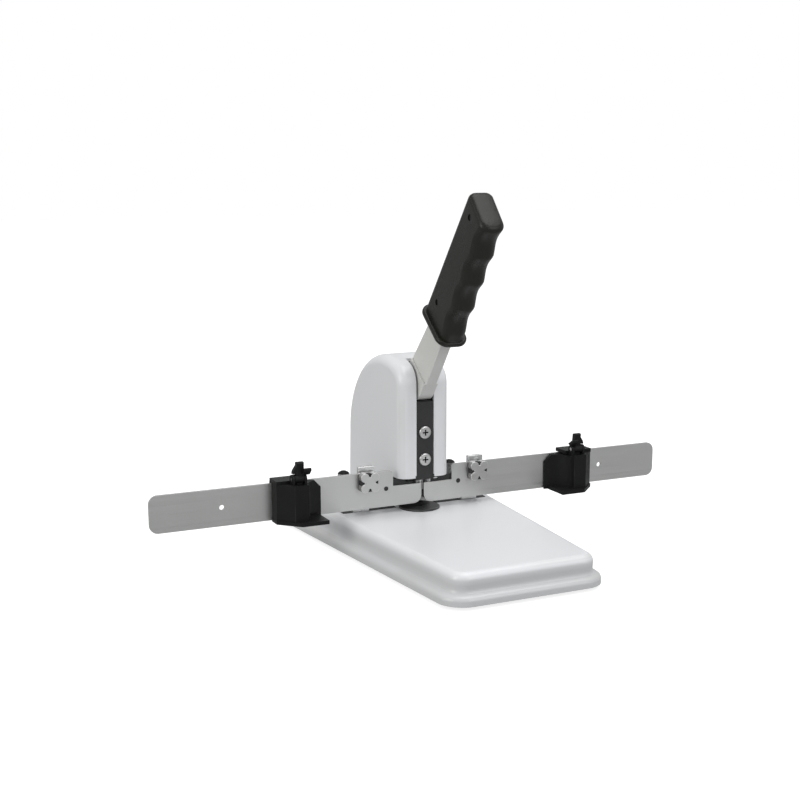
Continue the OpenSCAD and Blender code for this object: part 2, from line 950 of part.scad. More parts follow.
// Coil spring that lifts the ram, one unbroken tube.
module return_spring() {
  rings = spring_turns * 8;
  rise = spring_z1 - spring_z0 - 2 * spring_wire_r;
  points = [
    for (i = [0:rings])
      each spring_ring(i * 45, spring_wire_r + rise * i / rings)
  ];
  sides = [
    for (i = [0:rings - 1])
      for (k = [0:5])
        each [
          [i * 6 + k, i * 6 + (k + 1) % 6, i * 6 + 6 + (k + 1) % 6],
          [i * 6 + k, i * 6 + 6 + (k + 1) % 6, i * 6 + 6 + k]
        ]
  ];
  first = [for (k = [0:5]) 5 - k];
  last = [for (k = [0:5]) rings * 6 + k];
  color(bright_steel)
    translate([0, spring_y, spring_z0])
      polyhedron(points, concat(sides, [first, last]), convexity = 10);
}
echo(spring_least_gap = (spring_z1 - spring_z0 - 2 * spring_wire_r) / spring_turns - 2 * spring_wire_r);

// How far the front of the grip stands out at a place along the lever.
function grip_front(u) = grip_front_n - (u - grip_start) * tan(grip_taper);

// A place on the lever: n towards the user side, u along the lever, from the pivot.
function lever_point(n, u) = [
  n * cos(lever_lean) + u * sin(lever_lean),
  -n * sin(lever_lean) + u * cos(lever_lean)
];

// Curve of the cam: the ram goes down in step with the angle of the lever.
function cam_point(s) =
  let (
    a = atan2(-s, cam_r) + (s - contact_drop) / cam_r * 180 / PI,
    q = sqrt(cam_r * cam_r + s * s)
  )
  [q * cos(a), q * sin(a)];

// A shape drawn forward and up from the pivot, pushed out along X about the middle.
module lever_extrude(width) {
  translate([0, pivot_y, pivot_z])
    rotate([90, 0, -90])
      linear_extrude(height = width, center = true)
        children();
}

// A bar along X at a place on the lever.
module lever_bar(d, n, u, x0, x1) {
  p = lever_point(n, u);
  translate([0, pivot_y - p[0], pivot_z + p[1]])
    bar_x(d, x0, x1);
}

// Lower block of the lever: hub, nose that presses the ram, and a tongue into the channel.
module lever_cam() {
  nose = [for (s = [2:1:nose_end_s]) cam_point(s)];
  color(lever_grey)
    difference() {
      union() {
        lever_extrude(cam_w)
          union() {
            polygon(concat(
              [[0, 0], [9.2, -6]],
              nose,
              [
                lever_point(nose_front_n, channel_start_u),
                lever_point(channel_rear_n + 1, channel_start_u),
                lever_point(channel_rear_n + 1, 2)
              ]
            ));
            circle(r = hub_r);
          }
        lever_extrude(hub_w)
          circle(r = hub_boss_r);
        lever_extrude(lever_w - 2 * lever_t)
          polygon([
            lever_point(-4, channel_start_u - 2),
            lever_point(17, channel_start_u - 2),
            lever_point(17, tongue_end_u),
            lever_point(-4, tongue_end_u)
          ]);
      }
      lever_extrude(column_w)
        circle(d = bush_d + 2 * fit_gap);
      for (u = rivet_us)
        lever_bar(rivet_d + 2 * fit_gap, rivet_n, u, -column_w, column_w);
    }
}

// Bronze bush between the lever and the pivot pin.
module pivot_bush() {
  color(brass_tone)
    lever_extrude(hub_w)
      difference() {
        circle(d = bush_d);
        circle(d = pivot_pin_d + 2 * fit_gap);
      }
}

// Folded steel channel of the lever, open at the back, its upper end inside the grip.
module lever_arm() {
  color(lever_grey)
    difference() {
      lever_extrude(lever_w)
        polygon([
          lever_point(channel_rear_n, channel_start_u),
          lever_point(channel_front_n, channel_start_u),
          lever_point(neck_front_n, neck_u),
          lever_point(tang_front_n, tang_u),
          lever_point(tang_front_n, lever_end_u),
          lever_point(tang_rear_n, lever_end_u),
          lever_point(tang_rear_n, tang_u),
          lever_point(neck_rear_n, neck_u)
        ]);
      lever_extrude(lever_w - 2 * lever_t)
        polygon([
          lever_point(channel_rear_n - 9, channel_start_u - cut),
          lever_point(channel_front_n - lever_t, channel_start_u - cut),
          lever_point(neck_front_n - lever_t, neck_u),
          lever_point(tang_front_n - lever_t, tang_u),
          lever_point(tang_front_n - lever_t, lever_end_u + cut),
          lever_point(tang_rear_n - 9, lever_end_u + cut)
        ]);
      for (u = rivet_us)
        lever_bar(rivet_d + 2 * fit_gap, rivet_n, u, -column_w, column_w);
      for (u = grip_screw_us)
        lever_bar(grip_screw_d + 2 * fit_gap, grip_screw_n, u, -column_w, column_w);
    }
}

// Flush rivets through the channel walls and the tongue.
module lever_rivets() {
  color(lever_grey)
    for (u = rivet_us)
      lever_bar(rivet_d, rivet_n, u, -lever_w / 2, lever_w / 2);
}

// A place along the lever, with X across, Y towards the back of the lever and Z along it.
module along_lever(u) {
  translate([0, pivot_y, pivot_z])
    rotate([lever_lean, 0, 0])
      translate([0, 0, u])
        children();
}

// Section across the lever with round corners.
module lever_section(width, rear_n, front_n, r) {
  translate([0, -(front_n + rear_n) / 2]) {
    square([width - 2 * r, front_n - rear_n], center = true);
    square([width, front_n - rear_n - 2 * r], center = true);
    for (side_x = [-1, 1])
      for (side_y = [-1, 1])
        translate([side_x * (width / 2 - r), side_y * ((front_n - rear_n) / 2 - r)])
          circle(r = r);
  }
}

// The same, about the middle of the grip end and turned to its slope.
module on_slope(u) {
  along_lever(u)
    translate([0, -grip_mid_n, 0])
      rotate([grip_tilt, 0, 0])
        children();
}

// Long bar of the grip with round edges, its front leaning to its back.
module grip_form() {
  intersection() {
    along_lever(grip_start)
      linear_extrude(height = grip_l + grip_reach)
        lever_section(grip_w, grip_rear_n, grip_front_n + grip_reach, grip_rear_r);
    along_lever(grip_start)
      translate([0, -grip_front_n, 0])
        rotate([-grip_taper, 0, 0])
          translate([0, 0, -grip_reach])
            linear_extrude(height = grip_l + 3 * grip_reach)
              lever_section(grip_w, -3 * grip_reach, 0, grip_front_r);
  }
}

// Moulded grip with four finger grooves and a collar.
module grip() {
  color(black_plastic)
    difference() {
      union() {
        intersection() {
          grip_form();
          on_slope(grip_end_u)
            translate([-grip_w, -grip_l, -2 * grip_l])
              cube([2 * grip_w, 2 * grip_l, 2 * grip_l]);
        }
        along_lever(grip_start)
          linear_extrude(height = collar_t)
            lever_section(
              grip_w + 2 * collar_side,
              grip_rear_n - collar_rear,
              grip_front_n + collar_front,
              collar_r
            );
      }
      for (i = [0:3])
        lever_bar(
          2 * groove_r,
          grip_front(groove_first_u - i * groove_pitch) - groove_depth + groove_r,
          groove_first_u - i * groove_pitch,
          -grip_w,
          grip_w
        );
      lever_extrude(lever_w + 2 * fit_gap)
        polygon([
          lever_point(neck_rear_n - run_gap, grip_start - cut),
          lever_point(neck_front_n + run_gap, grip_start - cut),
          lever_point(neck_front_n + run_gap, neck_u),
          lever_point(tang_front_n + fit_gap, tang_u + fit_gap),
          lever_point(tang_front_n + fit_gap, lever_end_u + fit_gap),
          lever_point(tang_rear_n - fit_gap, lever_end_u + fit_gap),
          lever_point(tang_rear_n - fit_gap, tang_u + fit_gap),
          lever_point(neck_rear_n - run_gap, neck_u)
        ]);
      for (u = grip_screw_us) {
        lever_bar(grip_screw_d + 2 * fit_gap, grip_screw_n, u, -grip_w / 2 - cut, lever_w);
        lever_bar(
          grip_screw_head_d + 2 * fit_gap,
          grip_screw_n,
          u,
          -grip_w / 2 - cut,
          -grip_w / 2 + grip_screw_sink + grip_screw_head_h
        );
      }
    }
}

// Crowned cap on the upper end of the grip.
module grip_cap() {
  color(black_plastic)
    intersection() {
      grip_form();
      on_slope(grip_end_u)
        translate([-grip_w, -grip_l, 0])
          cube([2 * grip_w, 2 * grip_l, grip_l]);
      on_slope(grip_full_u)
        translate([0, 0, crown_h - crown_r])
          sphere(r = crown_r, $fn = 96);
    }
}

// Two sunk screws through the grip into the channel.
module grip_screws() {
  head_x = -grip_w / 2 + grip_screw_sink;
  color(black_metal)
    for (u = grip_screw_us) {
      lever_bar(grip_screw_head_d, grip_screw_n, u, head_x, head_x + grip_screw_head_h);
      lever_bar(grip_screw_d, grip_screw_n, u, head_x, lever_w / 2);
    }
}

// Outline of the right fence plate seen from the front: long rail, tall end and low middle part.
module fence_outline() {
  low_x = middle_gap / 2;
  difference() {
    union() {
      translate([tall_x, rail_z])
        square([end_x - tall_x - end_corner_r, rail_h]);
      translate([end_x - 2 * end_corner_r, rail_z + end_corner_r])
        square([2 * end_corner_r, rail_h - 2 * end_corner_r]);
      for (z = [rail_z + end_corner_r, rail_top - end_corner_r])
        translate([end_x - end_corner_r, z])
          circle(r = end_corner_r);
      translate([low_x, rail_z])
        square([tall_x - low_x, low_h]);
    }
    difference() {
      translate([low_x - cut, rail_z - cut])
        square(arch_r + cut);
      translate([low_x + arch_r, rail_z + arch_r])
        circle(r = arch_r);
    }
    difference() {
      translate([tall_x - cut, rail_top - tall_corner_r])
        square([tall_corner_r + cut, tall_corner_r + cut]);
      translate([tall_x + tall_corner_r, rail_top - tall_corner_r])
        circle(r = tall_corner_r);
    }
    translate([bracket_x, knob_z])
      circle(d = knob_shank_d + 2 * run_gap);
    translate([plate_hole_x, plate_hole_z])
      circle(d = plate_hole_d);
    translate([end_hole_x, rail_z + rail_h / 2])
      circle(d = end_hole_d);
  }
}

module fence_right() {
  color(bright_steel)
    front_extrude(rail_back_y, rail_t)
      fence_outline();
}

module fence_left() {
  color(bright_steel)
    mirror([1, 0, 0])
      front_extrude(rail_back_y, rail_t)
        fence_outline();
}

// Black strip that joins the two plates behind the middle, notched for the ram.
module fence_strip() {
  color(black_metal)
    front_extrude(rail_back_y + strip_t, strip_t)
      difference() {
        translate([-strip_half, strip_z0])
          square([2 * strip_half, strip_ear_top - strip_z0]);
        translate([-strip_ear_x, strip_top])
          square([2 * strip_ear_x, strip_top]);
        translate([-strip_notch_half, strip_notch_z])
          square([2 * strip_notch_half, strip_top]);
        for (side = [-1, 1])
          translate([side * plate_hole_x, plate_hole_z])
            circle(d = plate_hole_d);
      }
}

// Two flush rivets that hold the strip to the plates.
module strip_rivets() {
  color(black_metal)
    for (side = [-1, 1])
      translate([side * plate_hole_x, 0, plate_hole_z])
        bar_y(plate_hole_d - 2 * fit_gap, fence_y, rail_back_y + strip_t);
}

// Folded strap behind the fence: upright, step over the paper, leg and arm on the table.
module bracket_right() {
  color(grey_steel)
    difference() {
      union() {
        block(
          [bracket_x - bracket_w / 2, rail_back_y, rail_z],
          [bracket_x + bracket_w / 2, rail_back_y + bracket_t, bracket_top_z]
        );
        block(
          [bracket_x - bracket_w / 2, rail_back_y, rail_z],
          [bracket_x + bracket_w / 2, bracket_rear_y + bracket_t, rail_z + bracket_t]
        );
        block(
          [bracket_x - bracket_w / 2, bracket_rear_y, table_z],
          [bracket_x + bracket_w / 2, bracket_rear_y + bracket_t, rail_z + bracket_t]
        );
        block(
          [bracket_x - bracket_w / 2, bracket_rear_y, table_z],
          [bracket_x + bracket_w / 2, bracket_arm_end_y, table_z + bracket_t]
        );
      }
      translate([bracket_x, 0, knob_z])
        bar_y(knob_shank_d + 2 * fit_gap, fence_y, rail_back_y + bracket_t + cut);
      translate([bracket_x, post_y, table_z - cut])
        cylinder(d = post_shank_d + 2 * run_gap, h = bracket_t + 2 * cut);
    }
}

module bracket_left() {
  mirror([1, 0, 0])
    bracket_right();
}

// Four-lobe thumb knob with its screw.
module fence_knob_right() {
  color(bright_steel)
    translate([bracket_x, 0, knob_z]) {
      front_extrude(fence_y - run_gap - knob_foot, knob_t) {
        circle(r = knob_core_r);
        for (turn = [45:90:315])
          rotate(turn)
            translate([knob_lobe_ring, 0])
              circle(r = knob_lobe_r);
      }
      bar_y(knob_collar_d, fence_y - run_gap - knob_collar_t, fence_y - run_gap);
      bar_y(knob_shank_d, fence_y - run_gap - knob_foot, rail_back_y + bracket_t + 2);
    }
}

module fence_knob_left() {
  mirror([1, 0, 0])
    fence_knob_right();
}

// Tall round clamp screw through the bracket arm into the base.
module post_right() {
  color(grey_steel)
    translate([bracket_x, post_y, 0]) {
      translate([0, 0, table_z + bracket_t + run_gap])
        cylinder(d = post_d, h = post_top_z - post_cap_h - table_z - bracket_t - run_gap);
      translate([0, 0, post_shank_z])
        cylinder(d = post_shank_d, h = table_z + bracket_t + run_gap + cut - post_shank_z);
    }
}

module post_left() {
  mirror([1, 0, 0])
    post_right();
}

// Dark domed cap on the post.
module post_cap_right() {
  dome_h = post_cap_h;
  dome_radius = (post_d * post_d / 4 + dome_h * dome_h) / (2 * dome_h);
  color(black_plastic)
    translate([bracket_x, post_y, post_top_z - post_cap_h])
      intersection() {
        cylinder(d = post_d, h = dome_h + cut);
        translate([0, 0, dome_h - dome_radius])
          sphere(r = dome_radius);
        translate([-post_d, -post_d, 0])
          cube(2 * post_d);
      }
}

module post_cap_left() {
  mirror([1, 0, 0])
    post_cap_right();
}

// Sliding stop, drawn with its outer side at X = 0 and its wing towards -X.
module stop_body() {
  color(black_plastic)
    difference() {
      union() {
        translate([0, 0, stop_plate_z0])
          linear_extrude(height = stop_plate_t)
            polygon([
              [0, stop_slot_y0],
              [0, stop_front_y + stop_chamfer],
              [-stop_chamfer, stop_front_y],
              [-stop_l, stop_front_y],
              [-stop_l, stop_slot_y0]
            ]);
        translate([0, 0, stop_plate_z0])
          linear_extrude(height = stop_block_top - stop_plate_z0)
            polygon([
              [-stop_step, stop_slot_y0],
              [-stop_step, stop_block_y0 + stop_block_cut],
              [-stop_step - stop_block_cut, stop_block_y0],
              [-stop_block_w, stop_block_y0],
              [-stop_block_w, stop_slot_y0]
            ]);
        translate([0, 0, stop_plate_z0])
          linear_extrude(height = wing_top - stop_plate_z0)
            difference() {
              translate([-wing_end, stop_block_y0 + cut])
                square([wing_end - stop_block_w + cut, stop_slot_y0 - stop_block_y0 - cut]);
              translate([-stop_block_w - wing_r + wing_bite, stop_block_y0])
                circle(r = wing_r);
            }
        block([-stop_cap_w, stop_cap_y0, stop_cap_z0], [-stop_cap_in, stop_rear_y, stop_cap_z1]);
        block(
          [-stop_block_w, stop_slot_y1, stop_cap_z0 - stop_lip_h],
          [-stop_step, stop_rear_y, stop_cap_z0 + cut]
        );
        for (x = cheek_x) {
          block(
            [x, thumb_y - thumb_hub_r, stop_block_top - cut],
            [x + cheek_t, thumb_y + thumb_hub_r, thumb_z]
          );
          translate([0, thumb_y, thumb_z])
            bar_x(2 * thumb_hub_r, x, x + cheek_t);
        }
      }
      front_extrude(fence_y, 2 * stop_front)
        polygon([
          [-wing_end - cut, wing_top - wing_slope - cut],
          [-wing_end + wing_slope + cut, wing_top + cut],
          [-wing_end - cut, wing_top + cut]
        ]);
      block(
        [
          thumb_toe_x[0] - run_gap,
          thumb_y - thumb_toe_swing,
          thumb_z - thumb_toe_l - 2 * run_gap
        ],
        [thumb_toe_x[1] + run_gap, shoe_front_y, thumb_z]
      );
      translate([shoe_x, 0, shoe_z])
        bar_y(shoe_d + 2 * fit_gap, thumb_y, fence_y);
      translate([0, thumb_y, thumb_z])
        bar_x(thumb_pin_d + 2 * fit_gap, -stop_l, 0);
    }
}

// Pin that the thumb lever turns on.
module stop_pin() {
  color(bright_steel)
    translate([0, thumb_y, thumb_z])
      bar_x(thumb_pin_d, cheek_x[0], cheek_x[1] + cheek_t);
}

// Small round shoe between the toe of the thumb lever and the rail face.
module stop_shoe() {
  color(brass_tone)
    translate([shoe_x, 0, shoe_z])
      bar_y(shoe_d, shoe_front_y, stop_slot_y0);
}

// A side shape of the thumb lever drawn from its pin, between two places along X.
module thumb_slice(span) {
  translate([(span[0] + span[1]) / 2, thumb_y, thumb_z])
    side_extrude(span[1] - span[0])
      children();
}

// Thumb lever: hub, upright fin with a sloping outer rib, nub towards the user and a toe on the shoe.
module thumb_lever() {
  color(black_plastic)
    difference() {
      union() {
        translate([0, thumb_y, thumb_z])
          bar_x(2 * thumb_hub_r, thumb_hub_x[0], thumb_hub_x[1]);
        thumb_slice(thumb_fin_x)
          polygon([
            [-2.4, 0],
            [-3.1, thumb_h - 1],
            [-2.1, thumb_h],
            [0.1, thumb_h],
            [1.2, thumb_h - 1],
            [2.6, 0]
          ]);
        translate([0, 0, thumb_z])
          front_extrude(thumb_y + thumb_rib_y[1], thumb_rib_y[1] - thumb_rib_y[0])
            polygon([
              [thumb_rib_x[0], thumb_rib_z[0]],
              [thumb_rib_x[2], thumb_rib_z[0]],
              [thumb_rib_x[1], thumb_rib_z[1]],
              [thumb_rib_x[0], thumb_rib_z[2]]
            ]);
        thumb_slice(thumb_nub_x)
          polygon([
            [0.6, 5.2],
            [-5.8, 9.2],
            [-7.2, 8.6],
            [-7.1, 6.9],
            [-3.2, 3.2],
            [-1, 4.3]
          ]);
        thumb_slice(thumb_toe_x)
          polygon([
            [-thumb_toe_half, 0],
            [-thumb_toe_half, -thumb_toe_l],
            [thumb_toe_half, -thumb_toe_l],
            [thumb_toe_half, 0]
          ]);
      }
      translate([0, thumb_y, thumb_z])
        bar_x(thumb_pin_d + 2 * fit_gap, -stop_l, 0);
    }
}

// Puts a stop piece on the right of the fence.
module on_right() {
  translate([stop_right_x, 0, 0])
    children();
}

// Puts a stop piece on the left of the fence, as a mirror image.
module on_left() {
  translate([-stop_left_x, 0, 0])
    mirror([1, 0, 0])
      children();
}

module stop_left() {
  on_left()
    stop_body();
}

module stop_right() {
  on_right()
    stop_body();
}

module stop_pin_left() {
  on_left()
    stop_pin();
}

module stop_pin_right() {
  on_right()
    stop_pin();
}

module stop_shoe_left() {
  on_left()
    stop_shoe();
}

module stop_shoe_right() {
  on_right()
    stop_shoe();
}

module thumb_lever_left() {
  on_left()
    thumb_lever();
}

module thumb_lever_right() {
  on_right()
    thumb_lever();
}

base_casting();
bottom_plate();
rubber_feet();
feet_screws();
chip_drawer();
die_disc();
die_bush();
column_cover();
cover_screws();
side_plate_left();
side_plate_right();
rear_block();
frame_bolts();
frame_pins();
spring_block();
pivot_pin();
pivot_clips();
ram();
ram_bar();
ram_bar_screws();
punch_pin();
punch_set_screw();
return_spring();
lever_cam();
pivot_bush();
lever_arm();
lever_rivets();
grip();
grip_cap();
grip_screws();
fence_left();
fence_right();
fence_strip();
strip_rivets();
bracket_left();
bracket_right();
fence_knob_left();
fence_knob_right();
post_left();
post_right();
post_cap_left();
post_cap_right();
stop_left();
stop_right();
stop_pin_left();
stop_pin_right();
stop_shoe_left();
stop_shoe_right();
thumb_lever_left();
thumb_lever_right();
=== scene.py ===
from math import atan2, cos, hypot, pi, radians, sin, tan

import bmesh
import bpy
from mathutils import Matrix, Vector


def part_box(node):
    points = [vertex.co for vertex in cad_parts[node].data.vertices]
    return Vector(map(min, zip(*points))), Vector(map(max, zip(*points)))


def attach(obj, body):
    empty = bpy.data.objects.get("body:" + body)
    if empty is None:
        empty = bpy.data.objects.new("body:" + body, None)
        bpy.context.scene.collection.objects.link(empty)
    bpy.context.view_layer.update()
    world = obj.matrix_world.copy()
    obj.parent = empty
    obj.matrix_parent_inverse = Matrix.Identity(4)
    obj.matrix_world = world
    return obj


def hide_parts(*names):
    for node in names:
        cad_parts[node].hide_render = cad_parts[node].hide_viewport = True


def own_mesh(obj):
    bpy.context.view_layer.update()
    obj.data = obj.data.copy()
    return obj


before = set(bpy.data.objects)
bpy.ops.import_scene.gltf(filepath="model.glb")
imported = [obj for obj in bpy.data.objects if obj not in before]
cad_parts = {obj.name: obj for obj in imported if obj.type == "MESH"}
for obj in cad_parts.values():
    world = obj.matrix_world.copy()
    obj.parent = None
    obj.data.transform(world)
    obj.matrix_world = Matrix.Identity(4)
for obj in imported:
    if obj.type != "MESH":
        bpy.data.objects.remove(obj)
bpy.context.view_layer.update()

# Studio: a pale floor that runs out of sight, a white room and three soft boxes.
# The camera stands left of the middle and a little above the table, as the photographer did.
floor_half = 6
floor_tone, floor_light = (0.4, 0.4, 0.4, 1), 0.82
floor_bm = bmesh.new()
bmesh.ops.create_grid(floor_bm, x_segments=1, y_segments=1, size=floor_half)
floor_mesh = bpy.data.meshes.new("floor")
floor_bm.to_mesh(floor_mesh)
floor_bm.free()
floor = bpy.data.objects.new("floor", floor_mesh)
bpy.context.collection.objects.link(floor)
floor_paint = bpy.data.materials.new("pale_floor")
floor_paint.use_nodes = True
floor_nodes = floor_paint.node_tree.nodes
floor_shader = floor_nodes["Principled BSDF"]
floor_shader.inputs["Base Color"].default_value = floor_tone
floor_shader.inputs["Roughness"].default_value = 0.9
floor_shader.inputs["Specular IOR Level"].default_value = 0.1
floor_glow = floor_nodes.new("ShaderNodeEmission")
floor_glow.inputs["Strength"].default_value = floor_light
floor_ray = floor_nodes.new("ShaderNodeLightPath")
floor_gate = floor_nodes.new("ShaderNodeMixShader")
floor_sum = floor_nodes.new("ShaderNodeAddShader")
floor_links = floor_paint.node_tree.links
floor_links.new(floor_shader.outputs["BSDF"], floor_sum.inputs[0])
floor_links.new(floor_glow.outputs["Emission"], floor_sum.inputs[1])
floor_links.new(floor_ray.outputs["Is Camera Ray"], floor_gate.inputs["Fac"])
floor_links.new(floor_shader.outputs["BSDF"], floor_gate.inputs[1])
floor_links.new(floor_sum.outputs["Shader"], floor_gate.inputs[2])
floor_links.new(floor_gate.outputs["Shader"], floor_nodes["Material Output"].inputs["Surface"])
floor_mesh.materials.append(floor_paint)

wall_tone, wall_light = (1, 1, 1, 1), 1.0
fill_tone, fill_light = (0.97, 0.985, 1, 1), 0.57
room = bpy.data.worlds.new("white_room")
bpy.context.scene.world = room
room.use_nodes = True
room_nodes = room.node_tree.nodes
room_links = room.node_tree.links
seen_wall = room_nodes.new("ShaderNodeBackground")
seen_wall.inputs["Color"].default_value = wall_tone
seen_wall.inputs["Strength"].default_value = wall_light
room_fill = room_nodes["Background"]
room_fill.inputs["Color"].default_value = fill_tone
room_fill.inputs["Strength"].default_value = fill_light
room_ray = room_nodes.new("ShaderNodeLightPath")
room_mix = room_nodes.new("ShaderNodeMixShader")
room_links.new(room_ray.outputs["Is Camera Ray"], room_mix.inputs["Fac"])
room_links.new(room_fill.outputs["Background"], room_mix.inputs[1])
room_links.new(seen_wall.outputs["Background"], room_mix.inputs[2])
room_links.new(room_mix.outputs["Shader"], room_nodes["World Output"].inputs["Surface"])
bpy.context.scene.view_settings.view_transform = "Standard"


def soft_box(name, place, aim, width, power, tint):
    lamp = bpy.data.lights.new(name, "AREA")
    lamp.shape = "SQUARE"
    lamp.size = width
    lamp.energy = power
    lamp.color = tint
    holder = bpy.data.objects.new(name, lamp)
    bpy.context.collection.objects.link(holder)
    holder.location = place
    holder.rotation_euler = (Vector(aim) - Vector(place)).to_track_quat("-Z", "Y").to_euler()


soft_box("top_box", (0.3, -0.3, 1.9), (0, 0, 0.05), width=1.5, power=20.5, tint=(1, 1, 1))
soft_box("front_box", (0.7, -1.9, 1.0), (0, 0, 0.1), width=1.2, power=11.5, tint=(0.97, 0.98, 1))
soft_box("left_box", (-1.9, -0.3, 0.8), (0, 0, 0.12), width=1.1, power=15.5, tint=(1, 0.985, 0.955))

photo_px, focal_px = 800, 1357.3
middle_x_px, middle_y_px = 422.55, 433.39
sensor_mm = 36
eye = Vector((-0.47697, -0.95238, 0.31261))
turn, tilt = radians(-25.87), radians(11.51)
back = Vector((sin(turn) * cos(tilt), -cos(turn) * cos(tilt), sin(tilt)))
right = Vector((0, 0, 1)).cross(back).normalized()
up = back.cross(right)
stand = Matrix((right, up, back)).transposed().to_4x4()
stand.translation = eye
camera_data = bpy.data.cameras.new("photo_camera")
camera_data.sensor_width = sensor_mm
camera_data.lens = sensor_mm * focal_px / photo_px
camera_data.shift_x = (photo_px / 2 - middle_x_px) / photo_px
camera_data.shift_y = (middle_y_px - photo_px / 2) / photo_px
camera = bpy.data.objects.new("photo_camera", camera_data)
bpy.context.collection.objects.link(camera)
camera.matrix_world = stand
bpy.context.scene.camera = camera

# Base: one aluminium casting, tapered towards the user, with a round bead along its foot,
# a hollow throat above the bead and a soft table edge. It is coated with satin white paint.
mm = 0.001


def new_group(name, inputs, outputs):
    tree = bpy.data.node_groups.new(name, "ShaderNodeTree")
    for socket, value in inputs:
        made = tree.interface.new_socket(socket, in_out="INPUT", socket_type="NodeSocketFloat")
        made.default_value = value
    for socket in outputs:
        tree.interface.new_socket(socket, in_out="OUTPUT", socket_type="NodeSocketFloat")
    return tree, tree.nodes.new("NodeGroupInput"), tree.nodes.new("NodeGroupOutput")


# paint skin: fine ripple of sprayed paint, cloudy smudges, worn rims, and a painted shade where the shade
# attribute is set
wear_from, wear_to = 0.45, 0.65
skin_tree, skin_in, skin_out = new_group(
    "paint_skin", [("Ripple Scale", 600), ("Cloud Scale", 14)], ["Ripple", "Cloud", "Rim", "Painted Shade"]
)
skin_place = skin_tree.nodes.new("ShaderNodeTexCoord")
skin_ripple = skin_tree.nodes.new("ShaderNodeTexNoise")
skin_ripple.inputs["Detail"].default_value = 3
skin_cloud = skin_tree.nodes.new("ShaderNodeTexNoise")
skin_cloud.inputs["Detail"].default_value = 4
skin_rim = skin_tree.nodes.new("ShaderNodeAttribute")
skin_rim.attribute_name = "rim"
skin_shade = skin_tree.nodes.new("ShaderNodeAttribute")
skin_shade.attribute_name = "shade_attr"
skin_break = skin_tree.nodes.new("ShaderNodeMapRange")
skin_break.inputs["From Min"].default_value = wear_from
skin_break.inputs["From Max"].default_value = wear_to
skin_wear = skin_tree.nodes.new("ShaderNodeMath")
skin_wear.operation = "MULTIPLY"
skin_links = skin_tree.links
for texture, scale in ((skin_ripple, "Ripple Scale"), (skin_cloud, "Cloud Scale")):
    skin_links.new(skin_place.outputs["Object"], texture.inputs["Vector"])
    skin_links.new(skin_in.outputs[scale], texture.inputs["Scale"])
skin_links.new(skin_cloud.outputs["Fac"], skin_break.inputs["Value"])
skin_links.new(skin_rim.outputs["Fac"], skin_wear.inputs[0])
skin_links.new(skin_break.outputs["Result"], skin_wear.inputs[1])
skin_links.new(skin_ripple.outputs["Fac"], skin_out.inputs["Ripple"])
skin_links.new(skin_cloud.outputs["Fac"], skin_out.inputs["Cloud"])
skin_links.new(skin_wear.outputs["Value"], skin_out.inputs["Rim"])
skin_links.new(skin_shade.outputs["Fac"], skin_out.inputs["Painted Shade"])

# painted shade: the paint is multiplied by this tone where the shade attribute is set (the low skirt of the
# base)
painted_shade_tone = (0.77, 0.77, 0.765, 1)
paint_depth = 0.4 * mm
coat_rough = 0.18


def skin_material(name, clean, soiled, worn, rough, ripple, cloud, bump, coat=0.0, gleam=0.5):
    finish = bpy.data.materials.new(name)
    finish.use_nodes = True
    nodes = finish.node_tree.nodes
    links = finish.node_tree.links
    shader = nodes["Principled BSDF"]
    skin = nodes.new("ShaderNodeGroup")
    skin.node_tree = skin_tree
    skin.inputs["Ripple Scale"].default_value = ripple
    skin.inputs["Cloud Scale"].default_value = cloud
    tint = nodes.new("ShaderNodeMix")
    tint.data_type = "RGBA"
    tint.inputs["A"].default_value = (*clean, 1)
    tint.inputs["B"].default_value = (*soiled, 1)
    edge = nodes.new("ShaderNodeMix")
    edge.data_type = "RGBA"
    edge.inputs["B"].default_value = (*worn, 1)
    # painted shade: this mix darkens the colour by the shade tone
    shade_mix = nodes.new("ShaderNodeMix")
    shade_mix.data_type = "RGBA"
    shade_mix.blend_type = "MULTIPLY"
    shade_mix.inputs["B"].default_value = painted_shade_tone
    gloss = nodes.new("ShaderNodeMapRange")
    gloss.inputs["To Min"].default_value = rough[0]
    gloss.inputs["To Max"].default_value = rough[1]
    relief = nodes.new("ShaderNodeBump")
    relief.inputs["Strength"].default_value = bump
    relief.inputs["Distance"].default_value = paint_depth
    links.new(skin.outputs["Cloud"], tint.inputs["Factor"])
    links.new(tint.outputs["Result"], edge.inputs["A"])
    links.new(skin.outputs["Rim"], edge.inputs["Factor"])
    links.new(edge.outputs["Result"], shade_mix.inputs["A"])
    links.new(skin.outputs["Painted Shade"], shade_mix.inputs["Factor"])
    links.new(shade_mix.outputs["Result"], shader.inputs["Base Color"])
    links.new(skin.outputs["Cloud"], gloss.inputs["Value"])
    links.new(gloss.outputs["Result"], shader.inputs["Roughness"])
    links.new(skin.outputs["Ripple"], relief.inputs["Height"])
    links.new(relief.outputs["Normal"], shader.inputs["Normal"])
    shader.inputs["Specular IOR Level"].default_value = gleam
    shader.inputs["Coat Weight"].default_value = coat
    shader.inputs["Coat Roughness"].default_value = coat_rough
    return finish


white_paint = skin_material(
    "white_paint", clean=(0.68, 0.685, 0.7), soiled=(0.65, 0.655, 0.665), worn=(0.6, 0.6, 0.59),
    rough=(0.3, 0.42), ripple=700, cloud=9, bump=0.12, coat=0.15,
)
crease = radians(36)


def put(bm, name, material, body, slot, *nodes):
    for face in bm.faces:
        face.smooth = True
    for edge in bm.edges:
        if len(edge.link_faces) == 2 and edge.calc_face_angle() > crease:
            edge.smooth = False
    mesh = bpy.data.meshes.new(name)
    bm.to_mesh(mesh)
    bm.free()
    piece = bpy.data.objects.new(name, mesh)
    bpy.context.collection.objects.link(piece)
    mesh.materials.append(material)
    shading = piece.modifiers.new("even_shading", "WEIGHTED_NORMAL")
    shading.keep_sharp = True
    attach(piece, body)
    if nodes:
        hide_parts(*nodes)
    return piece


